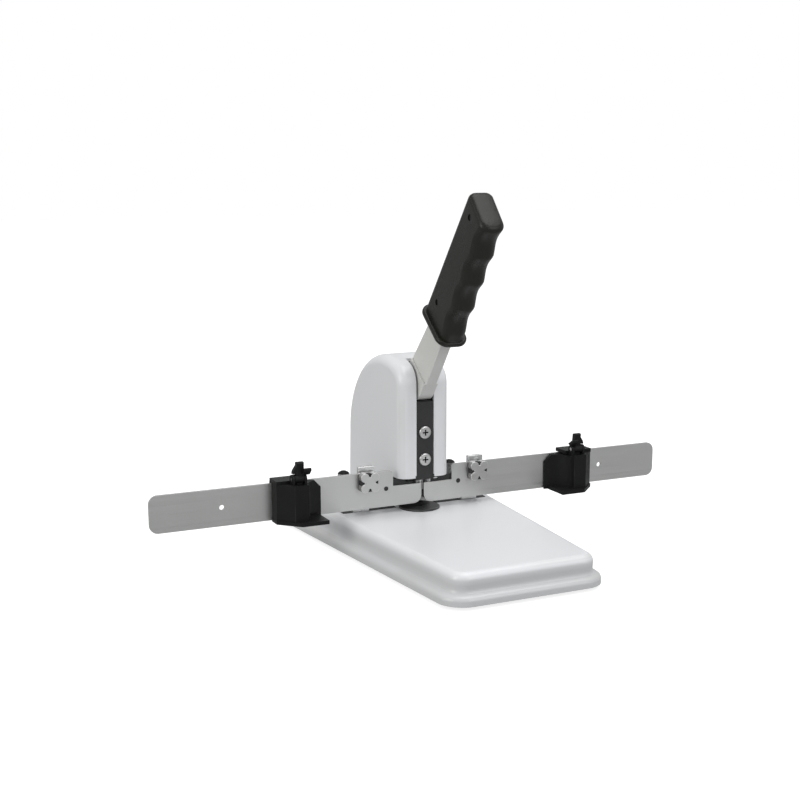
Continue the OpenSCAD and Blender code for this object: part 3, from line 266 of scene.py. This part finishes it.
def cut_away(bm, *cutters):
    held = []
    for shape in (bm, *cutters):
        mesh = bpy.data.meshes.new("cut_work")
        shape.to_mesh(mesh)
        shape.free()
        work = bpy.data.objects.new("cut_work", mesh)
        bpy.context.collection.objects.link(work)
        held.append(work)
    for cutter in held[1:]:
        step = held[0].modifiers.new("cut", "BOOLEAN")
        step.operation = "DIFFERENCE"
        step.solver = "EXACT"
        step.object = cutter
    bpy.context.view_layer.update()
    result = bmesh.new()
    result.from_object(held[0], bpy.context.evaluated_depsgraph_get())
    for work in held:
        mesh = work.data
        bpy.data.objects.remove(work)
        bpy.data.meshes.remove(mesh)
    return result


def round_bar(d, low, high, axis, segments=48):
    bm = bmesh.new()
    low, high = Vector(low) * mm, Vector(high) * mm
    spin = Vector((0, 0, 1)).rotation_difference(Vector(axis)).to_matrix().to_4x4()
    bmesh.ops.create_cone(
        bm, cap_ends=True, segments=segments, radius1=d / 2 * mm, radius2=d / 2 * mm,
        depth=(high - low).length, matrix=Matrix.Translation((low + high) / 2) @ spin,
    )
    return bm


def brick(low, high):
    bm = bmesh.new()
    low, high = Vector(low) * mm, Vector(high) * mm
    bmesh.ops.create_cube(bm, size=1)
    bmesh.ops.scale(bm, vec=high - low, verts=bm.verts[:])
    bmesh.ops.translate(bm, vec=(low + high) / 2, verts=bm.verts[:])
    return bm


def part_way(value, start, length):
    return min(max((value - start) / length, 0), 1)


base_low, base_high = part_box("base_casting")
table_z = base_high.z / mm
front_half, rear_half = 65.5 * mm, 91 * mm
plan_r = 18
base_bm = bmesh.new()
base_bm.faces.new([
    base_bm.verts.new((x, y, base_low.z))
    for x, y in (
        (-front_half, base_low.y), (front_half, base_low.y),
        (rear_half, base_high.y), (-rear_half, base_high.y),
    )
])
bmesh.ops.bevel(
    base_bm, geom=base_bm.verts[:], offset=plan_r * mm, offset_type="OFFSET", segments=10,
    profile=0.5, affect="VERTICES", material=-1,
)
base_bm.normal_update()
base_top = base_bm.faces[:]
if base_top[0].normal.z < 0:
    bmesh.ops.reverse_faces(base_bm, faces=base_top)
# steps of the profile, each how far in and how far up
bead = [(0, 3.4), (0.25, 1.3), (0.7, 1.25), (1.15, 0.95), (1.5, 0.6), (1.7, 0.5)]
throat = [(1.2, 1.3), (0.6, 1.9), (0.3, 2.6), (0.1, 3.4)]
table_edge = [(0.3, 1.7), (0.8, 1.7), (1.3, 1.4), (1.7, 0.9), (2, 0.4)]
for shrink, rise in bead + throat + table_edge:
    if shrink == 0:
        grown = bmesh.ops.extrude_face_region(base_bm, geom=base_top)
        base_top = [f for f in grown["geom"] if isinstance(f, bmesh.types.BMFace)]
    else:
        bmesh.ops.inset_region(
            base_bm, faces=base_top, thickness=shrink * mm, use_even_offset=True, use_boundary=True
        )
    top_verts = list({v for f in base_top for v in f.verts})
    bmesh.ops.translate(base_bm, vec=(0, 0, rise * mm), verts=top_verts)
# the front wall leans out above the bead
lean, lean_front, lean_length = 2.4, 100, 35
climb_from, climb_length = 6.5, 9
for vert in base_bm.verts:
    reach = part_way(-vert.co.y / mm, lean_front, lean_length)
    climb = part_way((vert.co.z - base_low.z) / mm, climb_from, climb_length)
    vert.co.y -= lean * mm * reach * climb
bmesh.ops.recalc_face_normals(base_bm, faces=base_bm.faces[:])
hollow_front, hollow_rear, hollow_top = -140, 137, 20.3
hollow_front_half, hollow_rear_half = 54, 77
hollow_bm = bmesh.new()
hollow_bm.faces.new([
    hollow_bm.verts.new((x * mm, y * mm, 0))
    for x, y in (
        (-hollow_front_half, hollow_front), (hollow_front_half, hollow_front),
        (hollow_rear_half, hollow_rear), (-hollow_rear_half, hollow_rear),
    )
])
lid = bmesh.ops.extrude_face_region(hollow_bm, geom=hollow_bm.faces[:])
lid_verts = [v for v in lid["geom"] if isinstance(v, bmesh.types.BMVert)]
bmesh.ops.translate(hollow_bm, vec=(0, 0, hollow_top * mm), verts=lid_verts)
bmesh.ops.recalc_face_normals(hollow_bm, faces=hollow_bm.faces[:])
die_y, die_seat_d = 37.5, 34.3
mouth_half, mouth_front, mouth_rear, mouth_top = 26.4, 120, 170, 14.3
# how far a cutter reaches past the faces that it opens
past = 10
base_bm = cut_away(
    base_bm,
    hollow_bm,
    round_bar(die_seat_d, (0, die_y, hollow_top - past), (0, die_y, table_z + past), (0, 0, 1), 64),
    brick((-mouth_half, mouth_front, 0), (mouth_half, mouth_rear, mouth_top)),
)
# painted shade: the base is darker from its foot up to 15 mm and clean again at 20 mm, for the shade on the
# skirt below the table edge
shade_from, shade_fade = 15, 5
base_shade = base_bm.verts.layers.float.new("shade_attr")
for vert in base_bm.verts:
    vert[base_shade] = 1 - part_way((vert.co.z - base_low.z) / mm, shade_from, shade_fade)
lip_low, lip_high, edge_low = 5, 8, 20
flat_top = 0.97
base_rim = base_bm.faces.layers.float.new("rim")
for face in base_bm.faces:
    height = (face.calc_center_median().z - base_low.z) / mm
    on_lip = lip_low < height < lip_high
    on_table_edge = height > edge_low and face.normal.z < flat_top
    face[base_rim] = 1.0 if on_lip or on_table_edge else 0.0
put(base_bm, "white_base", white_paint, "base", "white_paint", "base_casting")

# Feet: four turned rubber pads with a rounded lower rim, screwed up through the steel bottom plate.
# The plate is ground sheet steel let into the underside and closes the hollow of the casting.
same_place = 0.003
same_plane, sharp = radians(0.3), radians(28)


def rounded_copy(node, *rounds):
    bm = bmesh.new()
    bm.from_mesh(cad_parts[node].data)
    bmesh.ops.remove_doubles(bm, verts=bm.verts[:], dist=same_place * mm)
    bmesh.ops.dissolve_limit(
        bm, angle_limit=same_plane, use_dissolve_boundaries=False,
        verts=bm.verts[:], edges=bm.edges[:], delimit=set(),
    )
    rim = bm.faces.layers.float.new("rim")
    for width, segments, wanted in rounds:
        edges = [
            e for e in bm.edges
            if len(e.link_faces) == 2 and e.calc_face_angle() > sharp
            and wanted((e.verts[0].co + e.verts[1].co) / 2 / mm, e.calc_length() / mm, e)
        ]
        made = bmesh.ops.bevel(
            bm, geom=edges, offset=width * mm, offset_type="OFFSET", segments=segments,
            profile=0.5, affect="EDGES", clamp_overlap=True, material=-1,
        )
        for face in made["faces"]:
            face[rim] = 1.0
    return bm


def dress(material, *nodes):
    for node in nodes:
        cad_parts[node].material_slots[0].material = material


rubber = skin_material(
    "rubber", clean=(0.022, 0.022, 0.023), soiled=(0.034, 0.034, 0.034), worn=(0.06, 0.06, 0.06),
    rough=(0.7, 0.85), ripple=1400, cloud=60, bump=0.4,
)
foot_round, foot_rim_low, foot_rim_high = 0.7, 0.1, 2.9


def foot_rim(middle, length, edge):
    return not foot_rim_low <= middle.z <= foot_rim_high


put(
    rounded_copy("rubber_feet", (foot_round, 3, foot_rim)),
    "soft_feet", rubber, "base", "rubber", "rubber_feet",
)

# brushed lines: long fine scratches of a ground or drawn steel surface
lines_tree, lines_in, lines_out = new_group(
    "brushed_lines", [("Across", 900), ("Along", 12)], ["Lines", "Cloud", "Rim"]
)
lines_place = lines_tree.nodes.new("ShaderNodeTexCoord")
lines_scale = lines_tree.nodes.new("ShaderNodeCombineXYZ")
lines_stretch = lines_tree.nodes.new("ShaderNodeVectorMath")
lines_stretch.operation = "MULTIPLY"
lines_noise = lines_tree.nodes.new("ShaderNodeTexNoise")
lines_noise.inputs["Scale"].default_value = 1
lines_noise.inputs["Detail"].default_value = 5
lines_cloud = lines_tree.nodes.new("ShaderNodeTexNoise")
lines_cloud.inputs["Scale"].default_value = 22
lines_rim = lines_tree.nodes.new("ShaderNodeAttribute")
lines_rim.attribute_name = "rim"
lines_links = lines_tree.links
lines_links.new(lines_in.outputs["Along"], lines_scale.inputs["X"])
lines_links.new(lines_in.outputs["Across"], lines_scale.inputs["Y"])
lines_links.new(lines_in.outputs["Across"], lines_scale.inputs["Z"])
lines_links.new(lines_place.outputs["Object"], lines_stretch.inputs[0])
lines_links.new(lines_scale.outputs["Vector"], lines_stretch.inputs[1])
lines_links.new(lines_stretch.outputs["Vector"], lines_noise.inputs["Vector"])
lines_links.new(lines_place.outputs["Object"], lines_cloud.inputs["Vector"])
lines_links.new(lines_noise.outputs["Fac"], lines_out.inputs["Lines"])
lines_links.new(lines_cloud.outputs["Fac"], lines_out.inputs["Cloud"])
lines_links.new(lines_rim.outputs["Fac"], lines_out.inputs["Rim"])

line_share, tone_share = 0.6, 0.62
gloss_from, gloss_to = 0.3, 0.7
scratch_depth = 0.2 * mm


def steel_material(name, dark, light, rim_tone, rough, across, along, bump):
    finish = bpy.data.materials.new(name)
    finish.use_nodes = True
    nodes = finish.node_tree.nodes
    links = finish.node_tree.links
    shader = nodes["Principled BSDF"]
    lines = nodes.new("ShaderNodeGroup")
    lines.node_tree = lines_tree
    lines.inputs["Across"].default_value = across
    lines.inputs["Along"].default_value = along
    blend = nodes.new("ShaderNodeMath")
    blend.operation = "MULTIPLY_ADD"
    blend.inputs[1].default_value = line_share
    level = nodes.new("ShaderNodeMath")
    level.operation = "MULTIPLY"
    level.inputs[1].default_value = tone_share
    tint = nodes.new("ShaderNodeMix")
    tint.data_type = "RGBA"
    tint.inputs["A"].default_value = (*dark, 1)
    tint.inputs["B"].default_value = (*light, 1)
    edge = nodes.new("ShaderNodeMix")
    edge.data_type = "RGBA"
    edge.inputs["B"].default_value = (*rim_tone, 1)
    gloss = nodes.new("ShaderNodeMapRange")
    gloss.inputs["From Min"].default_value = gloss_from
    gloss.inputs["From Max"].default_value = gloss_to
    gloss.inputs["To Min"].default_value = rough[0]
    gloss.inputs["To Max"].default_value = rough[1]
    relief = nodes.new("ShaderNodeBump")
    relief.inputs["Strength"].default_value = bump
    relief.inputs["Distance"].default_value = scratch_depth
    links.new(lines.outputs["Lines"], blend.inputs[0])
    links.new(lines.outputs["Cloud"], blend.inputs[2])
    links.new(blend.outputs["Value"], level.inputs[0])
    links.new(level.outputs["Value"], tint.inputs["Factor"])
    links.new(tint.outputs["Result"], edge.inputs["A"])
    links.new(lines.outputs["Rim"], edge.inputs["Factor"])
    links.new(edge.outputs["Result"], shader.inputs["Base Color"])
    links.new(lines.outputs["Lines"], gloss.inputs["Value"])
    links.new(gloss.outputs["Result"], shader.inputs["Roughness"])
    links.new(lines.outputs["Lines"], relief.inputs["Height"])
    links.new(relief.outputs["Normal"], shader.inputs["Normal"])
    shader.inputs["Metallic"].default_value = 1.0
    return finish


frame_steel = steel_material(
    "frame_steel", dark=(0.05, 0.05, 0.05), light=(0.1, 0.1, 0.098), rim_tone=(0.16, 0.16, 0.16),
    rough=(0.4, 0.6), across=700, along=20, bump=0.2,
)
bright_steel = steel_material(
    "bright_steel", dark=(0.5, 0.5, 0.5), light=(0.68, 0.68, 0.67), rim_tone=(0.75, 0.75, 0.74),
    rough=(0.22, 0.38), across=500, along=90, bump=0.12,
)
dress(frame_steel, "bottom_plate")
dress(bright_steel, "feet_screws")

# Chip drawer: a thin moulded tray that slides out at the back under the table,
# with a finger scoop in its end wall and softly broken edges.
stop_plastic = skin_material(
    "stop_plastic", clean=(0.006, 0.006, 0.0065), soiled=(0.01, 0.01, 0.01), worn=(0.03, 0.03, 0.03),
    rough=(0.36, 0.52), ripple=1800, cloud=40, bump=0.3, gleam=0.14,
)
tray_round, tray_edge_least = 0.4, 4


def tray_edge(middle, length, edge):
    return length > tray_edge_least


put(
    rounded_copy("chip_drawer", (tray_round, 2, tray_edge)),
    "chip_tray", stop_plastic, "chip_drawer", "black_plastic", "chip_drawer",
)

# Die: a turned disc of blackened steel set in the table, with a hardened bush in its middle.
# Its upper rim is broken so that sheets slide over it.
black_metal = skin_material(
    "black_metal", clean=(0.016, 0.016, 0.017), soiled=(0.03, 0.03, 0.03), worn=(0.09, 0.09, 0.09),
    rough=(0.32, 0.5), ripple=900, cloud=50, bump=0.25, gleam=0.35,
)
die_round, die_rim_low, die_rim_inner = 0.7, 27.7, 15.8


def die_rim(middle, length, edge):
    return middle.z > die_rim_low and hypot(middle.x, middle.y - die_y) > die_rim_inner


put(
    rounded_copy("die_disc", (die_round, 3, die_rim)),
    "die_plate", black_metal, "base", "black_metal", "die_disc",
)
dress(black_metal, "die_bush")

# Frame in the column: two ground steel side plates, a rear block bolted to the base,
# cross pins, the spring seat, and the lever pin with its rings. The ram and its punch run inside.
dress(frame_steel, "side_plate_left", "side_plate_right", "rear_block", "spring_block")
dress(bright_steel, "frame_bolts", "frame_pins", "pivot_pin", "punch_pin", "punch_set_screw")
dress(black_metal, "pivot_clips", "ram")

# Return spring: a coil of plated spring wire that stands on the spring seat, under the lug of the ram.
# It is wound open. Its turns close up as the ram comes down on the real punch; here the coil stays as
# modelled.
coil_spring = put(
    rounded_copy("return_spring"), "coil_spring", bright_steel, "base", "bright_steel", "return_spring",
)
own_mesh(coil_spring)

# Column cover: a deep drawn steel cover with a domed back, round edges and a slot in its front.
# It is painted like the base and held by a pan head screw at the foot of each side.
cover_front, cover_rear, cover_half, cover_wall = 26, 139.1, 22.7, 2.4
cover_foot_z, cover_edge_z, cover_round = 25.7, 54, 8.5
cover_top = 170
throat_rear = 64
dome = Vector((0, 62.9, 78.2)) * mm
brow = Vector((0, 44, 130.91)) * mm
dome_side_low, rear_side_from, near = 73, 100, 0.2
under_table = 20


# the side outline runs up the front, over brow and dome, and down to the rear foot
def column_form(inset, low_z, edge_round):
    front, half = (cover_front + inset) * mm, (cover_half - inset) * mm
    bm = bmesh.new()
    start = bm.verts.new((-half, front, low_z * mm))
    shoulder = bm.verts.new((-half, front, brow.z))
    bm.edges.new((start, shoulder))
    tangent = atan2(brow.z - dome.z, brow.y - dome.y)
    ends = [shoulder]
    for centre, angle, steps in ((brow, pi - tangent, 10), (dome, tangent, 30)):
        swept = bmesh.ops.spin(
            bm, geom=ends, cent=centre, axis=(-1, 0, 0), angle=angle, steps=steps, use_merge=False,
        )
        ends = [v for v in swept["geom_last"] if isinstance(v, bmesh.types.BMVert)]
    outside = inset == 0
    foot = bm.verts.new((-half, (cover_rear - inset) * mm, (cover_foot_z if outside else low_z) * mm))
    bm.edges.new((ends[0], foot))
    if outside:
        inner = bm.verts.new((-half, throat_rear * mm, cover_foot_z * mm))
        step = bm.verts.new((-half, throat_rear * mm, low_z * mm))
        for pair in ((foot, inner), (inner, step), (step, start)):
            bm.edges.new(pair)
    else:
        bm.edges.new((foot, start))
    bmesh.ops.edgeloop_fill(bm, edges=bm.edges[:])
    made = bmesh.ops.extrude_face_region(bm, geom=bm.faces[:])
    bmesh.ops.translate(
        bm, vec=(2 * half, 0, 0), verts=[v for v in made["geom"] if isinstance(v, bmesh.types.BMVert)],
    )
    bmesh.ops.recalc_face_normals(bm, faces=bm.faces[:])
    edges = []
    for edge in bm.edges:
        middle = (edge.verts[0].co + edge.verts[1].co) / 2 / mm
        along_side = abs(abs(middle.x) - half / mm) < near
        in_front = middle.y < cover_front + inset + near
        outer = in_front or middle.z > dome_side_low or middle.y > rear_side_from
        if along_side and outer and middle.z > cover_foot_z + near:
            edges.append(edge)
    bmesh.ops.bevel(
        bm, geom=edges, offset=edge_round * mm, offset_type="OFFSET", segments=7, profile=0.5,
        affect="EDGES", clamp_overlap=False, material=-1,
    )
    return bm


slot_half, slot_rear = 8, 47
foot_slot_half, foot_slot_rear, foot_slot_top = 8.8, 31, 56
slot_front = cover_front - past
column_bm = cut_away(
    column_form(0, cover_edge_z, cover_round),
    column_form(cover_wall, under_table, cover_round - cover_wall),
    brick((-slot_half, slot_front, cover_foot_z), (slot_half, slot_rear, cover_top)),
    brick((-foot_slot_half, slot_front, cover_foot_z), (foot_slot_half, foot_slot_rear, foot_slot_top)),
)
round_from, round_to = 0.4, 0.92
column_rim = column_bm.faces.layers.float.new("rim")
for face in column_bm.faces:
    face[column_rim] = 1.0 if round_from < abs(face.normal.x) < round_to else 0.0
put(column_bm, "white_column", white_paint, "base", "white_paint", "column_cover")
cover_head_round, cover_head_out = 0.9, 24.8


def cover_head_rim(middle, length, edge):
    return abs(middle.x) > cover_head_out


put(
    rounded_copy("cover_screws", (cover_head_round, 4, cover_head_rim)),
    "cover_screw_heads", bright_steel, "base", "bright_steel", "cover_screws",
)

# Ram front: a blackened steel bar in the slot, held to the ram by two pan head screws with cross slots.
# The bar ends in a slightly wider foot just above the fence.
bar_round, bar_face_y, bar_edge_least = 0.6, 27.2, 2
bar_screw_zs = (69, 91.7)
head_round, head_face_y, head_r, head_facet = 1.3, 25.5, 5, 1.6
cross_r, cross_from = 3.3, 0.3


def bar_edge(middle, length, edge):
    return middle.y < bar_face_y and length > bar_edge_least


def from_screw_axis(middle):
    return min(hypot(middle.x, middle.z - z) for z in bar_screw_zs)


def head_rim(middle, length, edge):
    return middle.y < head_face_y and length < head_facet and from_screw_axis(middle) > head_r


put(
    rounded_copy("ram_bar", (bar_round, 3, bar_edge)),
    "black_bar", black_metal, "ram", "black_metal", "ram_bar",
)
# screw steel with a painted shade: its near-black rim tone goes only into the cross slots
slot_shaded_steel = steel_material(
    "slot_shaded_steel", dark=(0.5, 0.5, 0.49), light=(0.68, 0.68, 0.67), rim_tone=(0.02, 0.02, 0.02),
    rough=(0.24, 0.4), across=500, along=90, bump=0.15,
)
screw_bm = rounded_copy("ram_bar_screws", (head_round, 5, head_rim))
cross_slot_shade = screw_bm.faces.layers.float["rim"]
cross_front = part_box("ram_bar_screws")[0].y / mm + cross_from
# painted shade: only the faces inside the cross slots take the rim tone, so the slots look dark
for face in screw_bm.faces:
    middle = face.calc_center_median() / mm
    face[cross_slot_shade] = 1.0 if from_screw_axis(middle) < cross_r and middle.y > cross_front else 0.0
put(screw_bm, "bar_screw_heads", slot_shaded_steel, "ram", "bright_steel", "ram_bar_screws")

# Lever: a folded channel of steel sheet over a cast block whose nose presses the ram, joined by rivets.
# Both are finished in pale grey satin paint; a bronze bush turns on the pin.
lever_paint = skin_material(
    "lever_paint", clean=(0.58, 0.58, 0.56), soiled=(0.53, 0.53, 0.51), worn=(0.64, 0.64, 0.62),
    rough=(0.3, 0.45), ripple=500, cloud=25, bump=0.15,
)
channel_round, channel_side, channel_edge_least = 0.9, 4.9, 8
nose_round, nose_half, nose_rear = 0.8, 6.3, 41


def channel_edge(middle, length, edge):
    return length > channel_edge_least and abs(middle.x) > channel_side


def nose_edge(middle, length, edge):
    return abs(abs(middle.x) - nose_half) < near and middle.y < nose_rear


put(
    rounded_copy("lever_arm", (channel_round, 3, channel_edge)),
    "lever_channel", lever_paint, "lever", "lever_paint", "lever_arm",
)
put(
    rounded_copy("lever_cam", (nose_round, 3, nose_edge)),
    "lever_nose", lever_paint, "lever", "lever_paint", "lever_cam",
)
bronze = steel_material(
    "bronze", dark=(0.42, 0.3, 0.13), light=(0.6, 0.45, 0.22), rim_tone=(0.7, 0.55, 0.3),
    rough=(0.3, 0.45), across=600, along=60, bump=0.15,
)
dress(lever_paint, "lever_rivets")
dress(bronze, "pivot_bush", "stop_shoe_left", "stop_shoe_right")

# Grip: one moulding of black plastic pushed over the channel, deep at its collar and slimmer at its end.
# Its front is nearly half round with four finger grooves; two sunk screws go in from its left side.
grip_plastic = skin_material(
    "grip_plastic", clean=(0.009, 0.009, 0.0072), soiled=(0.017, 0.017, 0.0138), worn=(0.045, 0.045, 0.045),
    rough=(0.22, 0.34), ripple=1500, cloud=35, bump=0.4, gleam=0.25,
)
pivot_y, pivot_z, lever_lean = 49.5, 125, radians(38.5)
lever_frame = Matrix.Translation((0, pivot_y * mm, pivot_z * mm)) @ Matrix.Rotation(lever_lean, 4, "X")
grip_half, grip_rear, grip_front = 10.1, 12, 30.4
grip_rear_r, grip_front_r = 5.7, 8.9
grip_foot, grip_seat, grip_straight, grip_steps = 79.2, 0.4, 112.9, 68
grip_taper = tan(radians(3.3))
# steps of its end, each how far in and how far up: a 4 mm round, then a low crown
end_round = [(0.2, 1.24), (0.57, 1.11), (0.89, 0.89), (1.11, 0.57), (1.23, 0.19)]
end_crown = [(2.2, 0.2), (2.2, 0.1)]
end_middle, end_slope = -5.9, tan(radians(10))
slope_from, slope_length = 140, 50
groove_last, groove_pitch, groove_count = 178.5, 25, 4
groove_depth, groove_power = 3.1, 1.3
groove_wrap, groove_fade = 14, 9


def lever_block(half_x, rear, front, rear_r, front_r, u):
    bm = bmesh.new()
    bm.faces.new([
        bm.verts.new((x * mm, y * mm, u * mm))
        for x, y in ((-half_x, -front), (half_x, -front), (half_x, rear), (-half_x, rear))
    ])
    for corner_r, at_front in ((front_r, True), (rear_r, False)):
        corners = [v for v in bm.verts if (v.co.y < 0) == at_front]
        bmesh.ops.bevel(
            bm, geom=corners, offset=corner_r * mm, offset_type="OFFSET", segments=8, profile=0.5,
            affect="VERTICES", material=-1,
        )
    bm.normal_update()
    if bm.faces[:][0].normal.z < 0:
        bmesh.ops.reverse_faces(bm, faces=bm.faces[:])
    return bm


def raise_top(bm, top, rise, first=False):
    made = bmesh.ops.extrude_face_region(bm, geom=top)
    if not first:
        bmesh.ops.delete(bm, geom=top, context="FACES_ONLY")
    top = [f for f in made["geom"] if isinstance(f, bmesh.types.BMFace)]
    verts = list({v for f in top for v in f.verts})
    bmesh.ops.translate(bm, vec=(0, 0, rise * mm), verts=verts)
    return top, verts


grip_bm = lever_block(grip_half, grip_rear, grip_front, grip_rear_r, grip_front_r, grip_foot + grip_seat)
grip_top = grip_bm.faces[:]
for step in range(grip_steps):
    grip_top, verts = raise_top(grip_bm, grip_top, grip_straight / grip_steps, first=step == 0)
end_half, end_reach = grip_half, (grip_rear + grip_front) / 2
grip_axis = (grip_front - grip_rear) / 2
for lost, rise in end_round + end_crown:
    grip_top, verts = raise_top(grip_bm, grip_top, rise)
    bmesh.ops.scale(
        grip_bm, vec=((end_half - lost) / end_half, (end_reach - lost) / end_reach, 1), verts=verts,
        space=Matrix.Translation((0, grip_axis * mm, -verts[0].co.z)),
    )
    end_half, end_reach = end_half - lost, end_reach - lost
for vert in grip_bm.verts:
    along = vert.co.z / mm
    front_here = grip_front - (along - grip_foot) * grip_taper
    deep = (grip_rear - vert.co.y / mm) / (grip_rear + grip_front)
    y = grip_rear - deep * (grip_rear + front_here)
    along += (y - end_middle) * end_slope * part_way(along, slope_from, slope_length)
    off_groove = min(abs(along - groove_last + groove_pitch * k) for k in range(groove_count))
    hollow = cos(pi / 2 * min(2 * off_groove / groove_pitch, 1)) ** groove_power
    y += groove_depth * hollow * part_way(groove_wrap - front_here - y, 0, groove_fade)
    vert.co.y, vert.co.z = y * mm, along * mm
bmesh.ops.recalc_face_normals(grip_bm, faces=grip_bm.faces[:])
grip_bm.transform(lever_frame)
sunk_us, sunk_n, sunk_d, sunk_bottom = (100.7, 186), -1.9, 4.9, -6.8
screw_holes = []
for u in sunk_us:
    place = lever_frame @ Vector((0, sunk_n * mm, u * mm)) / mm
    screw_holes.append(round_bar(
        sunk_d, (-grip_half - past, place.y, place.z), (sunk_bottom, place.y, place.z), (1, 0, 0), 32,
    ))
put(cut_away(grip_bm, *screw_holes), "finger_grip", grip_plastic, "lever", "grip_plastic", "grip", "grip_cap")
collar_half, collar_rear, collar_front, collar_r = 13.3, 14.7, 31.2, 9.5
collar_h, collar_round, collar_sharp = 4.4, 1.7, radians(60)
collar_bm = lever_block(collar_half, collar_rear, collar_front, collar_r, collar_r, grip_foot)
raise_top(collar_bm, collar_bm.faces[:], collar_h, first=True)
bmesh.ops.recalc_face_normals(collar_bm, faces=collar_bm.faces[:])
bmesh.ops.bevel(
    collar_bm, geom=[e for e in collar_bm.edges if e.calc_face_angle() > collar_sharp],
    offset=collar_round * mm, offset_type="OFFSET", segments=5, profile=0.5,
    affect="EDGES", clamp_overlap=True, material=-1,
)
collar_bm.transform(lever_frame)
put(collar_bm, "grip_collar", grip_plastic, "lever", "grip_plastic")
dress(black_metal, "grip_screws")

# Fence: two cut plates of satin steel strip, brushed along their length, with the edges deburred.
# Their inner ends are stepped down and rounded to pass each side of the punch.
rail_steel = steel_material(
    "rail_steel", dark=(0.45, 0.452, 0.442), light=(0.56, 0.562, 0.55), rim_tone=(0.63, 0.63, 0.62),
    rough=(0.34, 0.5), across=1300, along=10, bump=0.25,
)
rail_round = 0.25


def any_edge(middle, length, edge):
    return True


for side in ("left", "right"):
    put(
        rounded_copy(f"fence_{side}", (rail_round, 2, any_edge)),
        f"steel_fence_{side}", rail_steel, "base", "rail_steel", f"fence_{side}",
    )

# Fence strip: a thin strip of blackened steel behind the middle of the fence that joins the two plates.
# It is notched for the ram and held by two flush rivets, which show as dark spots in the plates.
strip_round = 0.2
for node, name in (("fence_strip", "joining_strip"), ("strip_rivets", "flush_rivets")):
    put(
        rounded_copy(node, (strip_round, 2, any_edge)),
        name, black_metal, "base", "black_metal", node,
    )

# Brackets: straps folded from plated steel strip that carry the fence and step over the sheets.
# Each stands on the table with its foot under a clamp post; its upper end shows above the fence.
strap_round, strap_edge_least = 0.5, 2


def strap_edge(middle, length, edge):
    return length > strap_edge_least


for side in ("left", "right"):
    put(
        rounded_copy(f"bracket_{side}", (strap_round, 3, strap_edge)),
        f"strap_{side}", bright_steel, "base", "bright_steel", f"bracket_{side}",
    )

# Shade pads: thin strips of black rubber on the table on both sides of each bracket leg. They are painted
# shade: from the front they show dark under the fence, where the gap lies in shade.
pad_front, pad_rear, pad_thick = 43.7, 59, 0.5
pad_spans = (("inner", 18.5, 42.4), ("outer", 57.6, 66))
sides = (("left", -1), ("right", 1))
for side, sign in sides:
    for part, inner, outer in pad_spans:
        low_x, high_x = sorted((sign * inner, sign * outer))
        put(
            brick((low_x, pad_front, table_z), (high_x, pad_rear, table_z + pad_thick)),
            f"shade_pad_{side}_{part}", rubber, "base", "rubber",
        )

# Fence knobs: four-lobe thumb knobs turned and milled from plated steel, each with its screw.
# A black disc behind the lobes shows dark in the gaps between them.
knob_steel = steel_material(
    "knob_steel", dark=(0.42, 0.42, 0.41), light=(0.58, 0.58, 0.57), rim_tone=(0.66, 0.66, 0.65),
    rough=(0.28, 0.45), across=500, along=90, bump=0.15,
)
knob_x, knob_z, knob_round, knob_face_y = 50, 54.7, 0.7, 24.6
core_d, core_front, core_rear = 15, 25.6, 30.65


def knob_edge(middle, length, edge):
    return middle.y < knob_face_y


for side, sign in sides:
    put(
        rounded_copy(f"fence_knob_{side}", (knob_round, 3, knob_edge)),
        f"lobe_knob_{side}", knob_steel, f"fence_knob_{side}", "bright_steel", f"fence_knob_{side}",
    )
    put(
        round_bar(core_d, (sign * knob_x, core_front, knob_z), (sign * knob_x, core_rear, knob_z), (0, 1, 0)),
        f"knob_core_{side}", rubber, f"fence_knob_{side}", "rubber",
    )

# Posts: clamp screws turned from plated steel bar, with a knurled grip above the bracket foot.
# A domed cap of dark plastic is pressed on the top of each.
post_x, post_y, post_low, post_h = 50, 81, 29.6, 21.5
post_r, knurl_root_r, knurls, knurl_points = 5, 4.6, 32, 3
for side, sign in sides:
    post_bm = bmesh.new()
    bmesh.ops.create_circle(
        post_bm, cap_ends=True, radius=knurl_root_r * mm, segments=knurls * knurl_points,
    )
    for k, vert in enumerate(post_bm.verts):
        if k % knurl_points:
            vert.co *= post_r / knurl_root_r
    bmesh.ops.translate(post_bm, vec=Vector((sign * post_x, post_y, post_low)) * mm, verts=post_bm.verts[:])
    raise_top(post_bm, post_bm.faces[:], post_h, first=True)
    bmesh.ops.recalc_face_normals(post_bm, faces=post_bm.faces[:])
    put(post_bm, f"knurled_post_{side}", bright_steel, f"post_{side}", "bright_steel", f"post_{side}")
    dress(stop_plastic, f"post_cap_{side}")

# Side stops: moulded black blocks that slide on the fence, hooked over its upper edge.
# Each carries a moulded thumb lever on a steel pin; its toe presses a bronze shoe on the rail.
corner_round, corner_least, corner_rear, upright = 2, 15, 28, 0.99
stop_round, stop_edge_least = 0.5, 2.4
thumb_round, thumb_edge_least = 0.45, 1.5


def stop_corner(middle, length, edge):
    along = (edge.verts[1].co - edge.verts[0].co).normalized()
    standing = abs(along.z) > upright and length > corner_least
    return standing and edge.is_convex and middle.y < corner_rear


def stop_edge(middle, length, edge):
    return edge.is_convex and length > stop_edge_least


def thumb_edge(middle, length, edge):
    return edge.is_convex and length > thumb_edge_least


for side in ("left", "right"):
    put(
        rounded_copy(f"stop_{side}", (corner_round, 4, stop_corner), (stop_round, 2, stop_edge)),
        f"slide_stop_{side}", stop_plastic, f"stop_{side}", "black_plastic", f"stop_{side}",
    )
    put(
        rounded_copy(f"thumb_lever_{side}", (thumb_round, 2, thumb_edge)),
        f"thumb_tab_{side}", stop_plastic, f"thumb_lever_{side}", "black_plastic", f"thumb_lever_{side}",
    )
    dress(bright_steel, f"stop_pin_{side}")
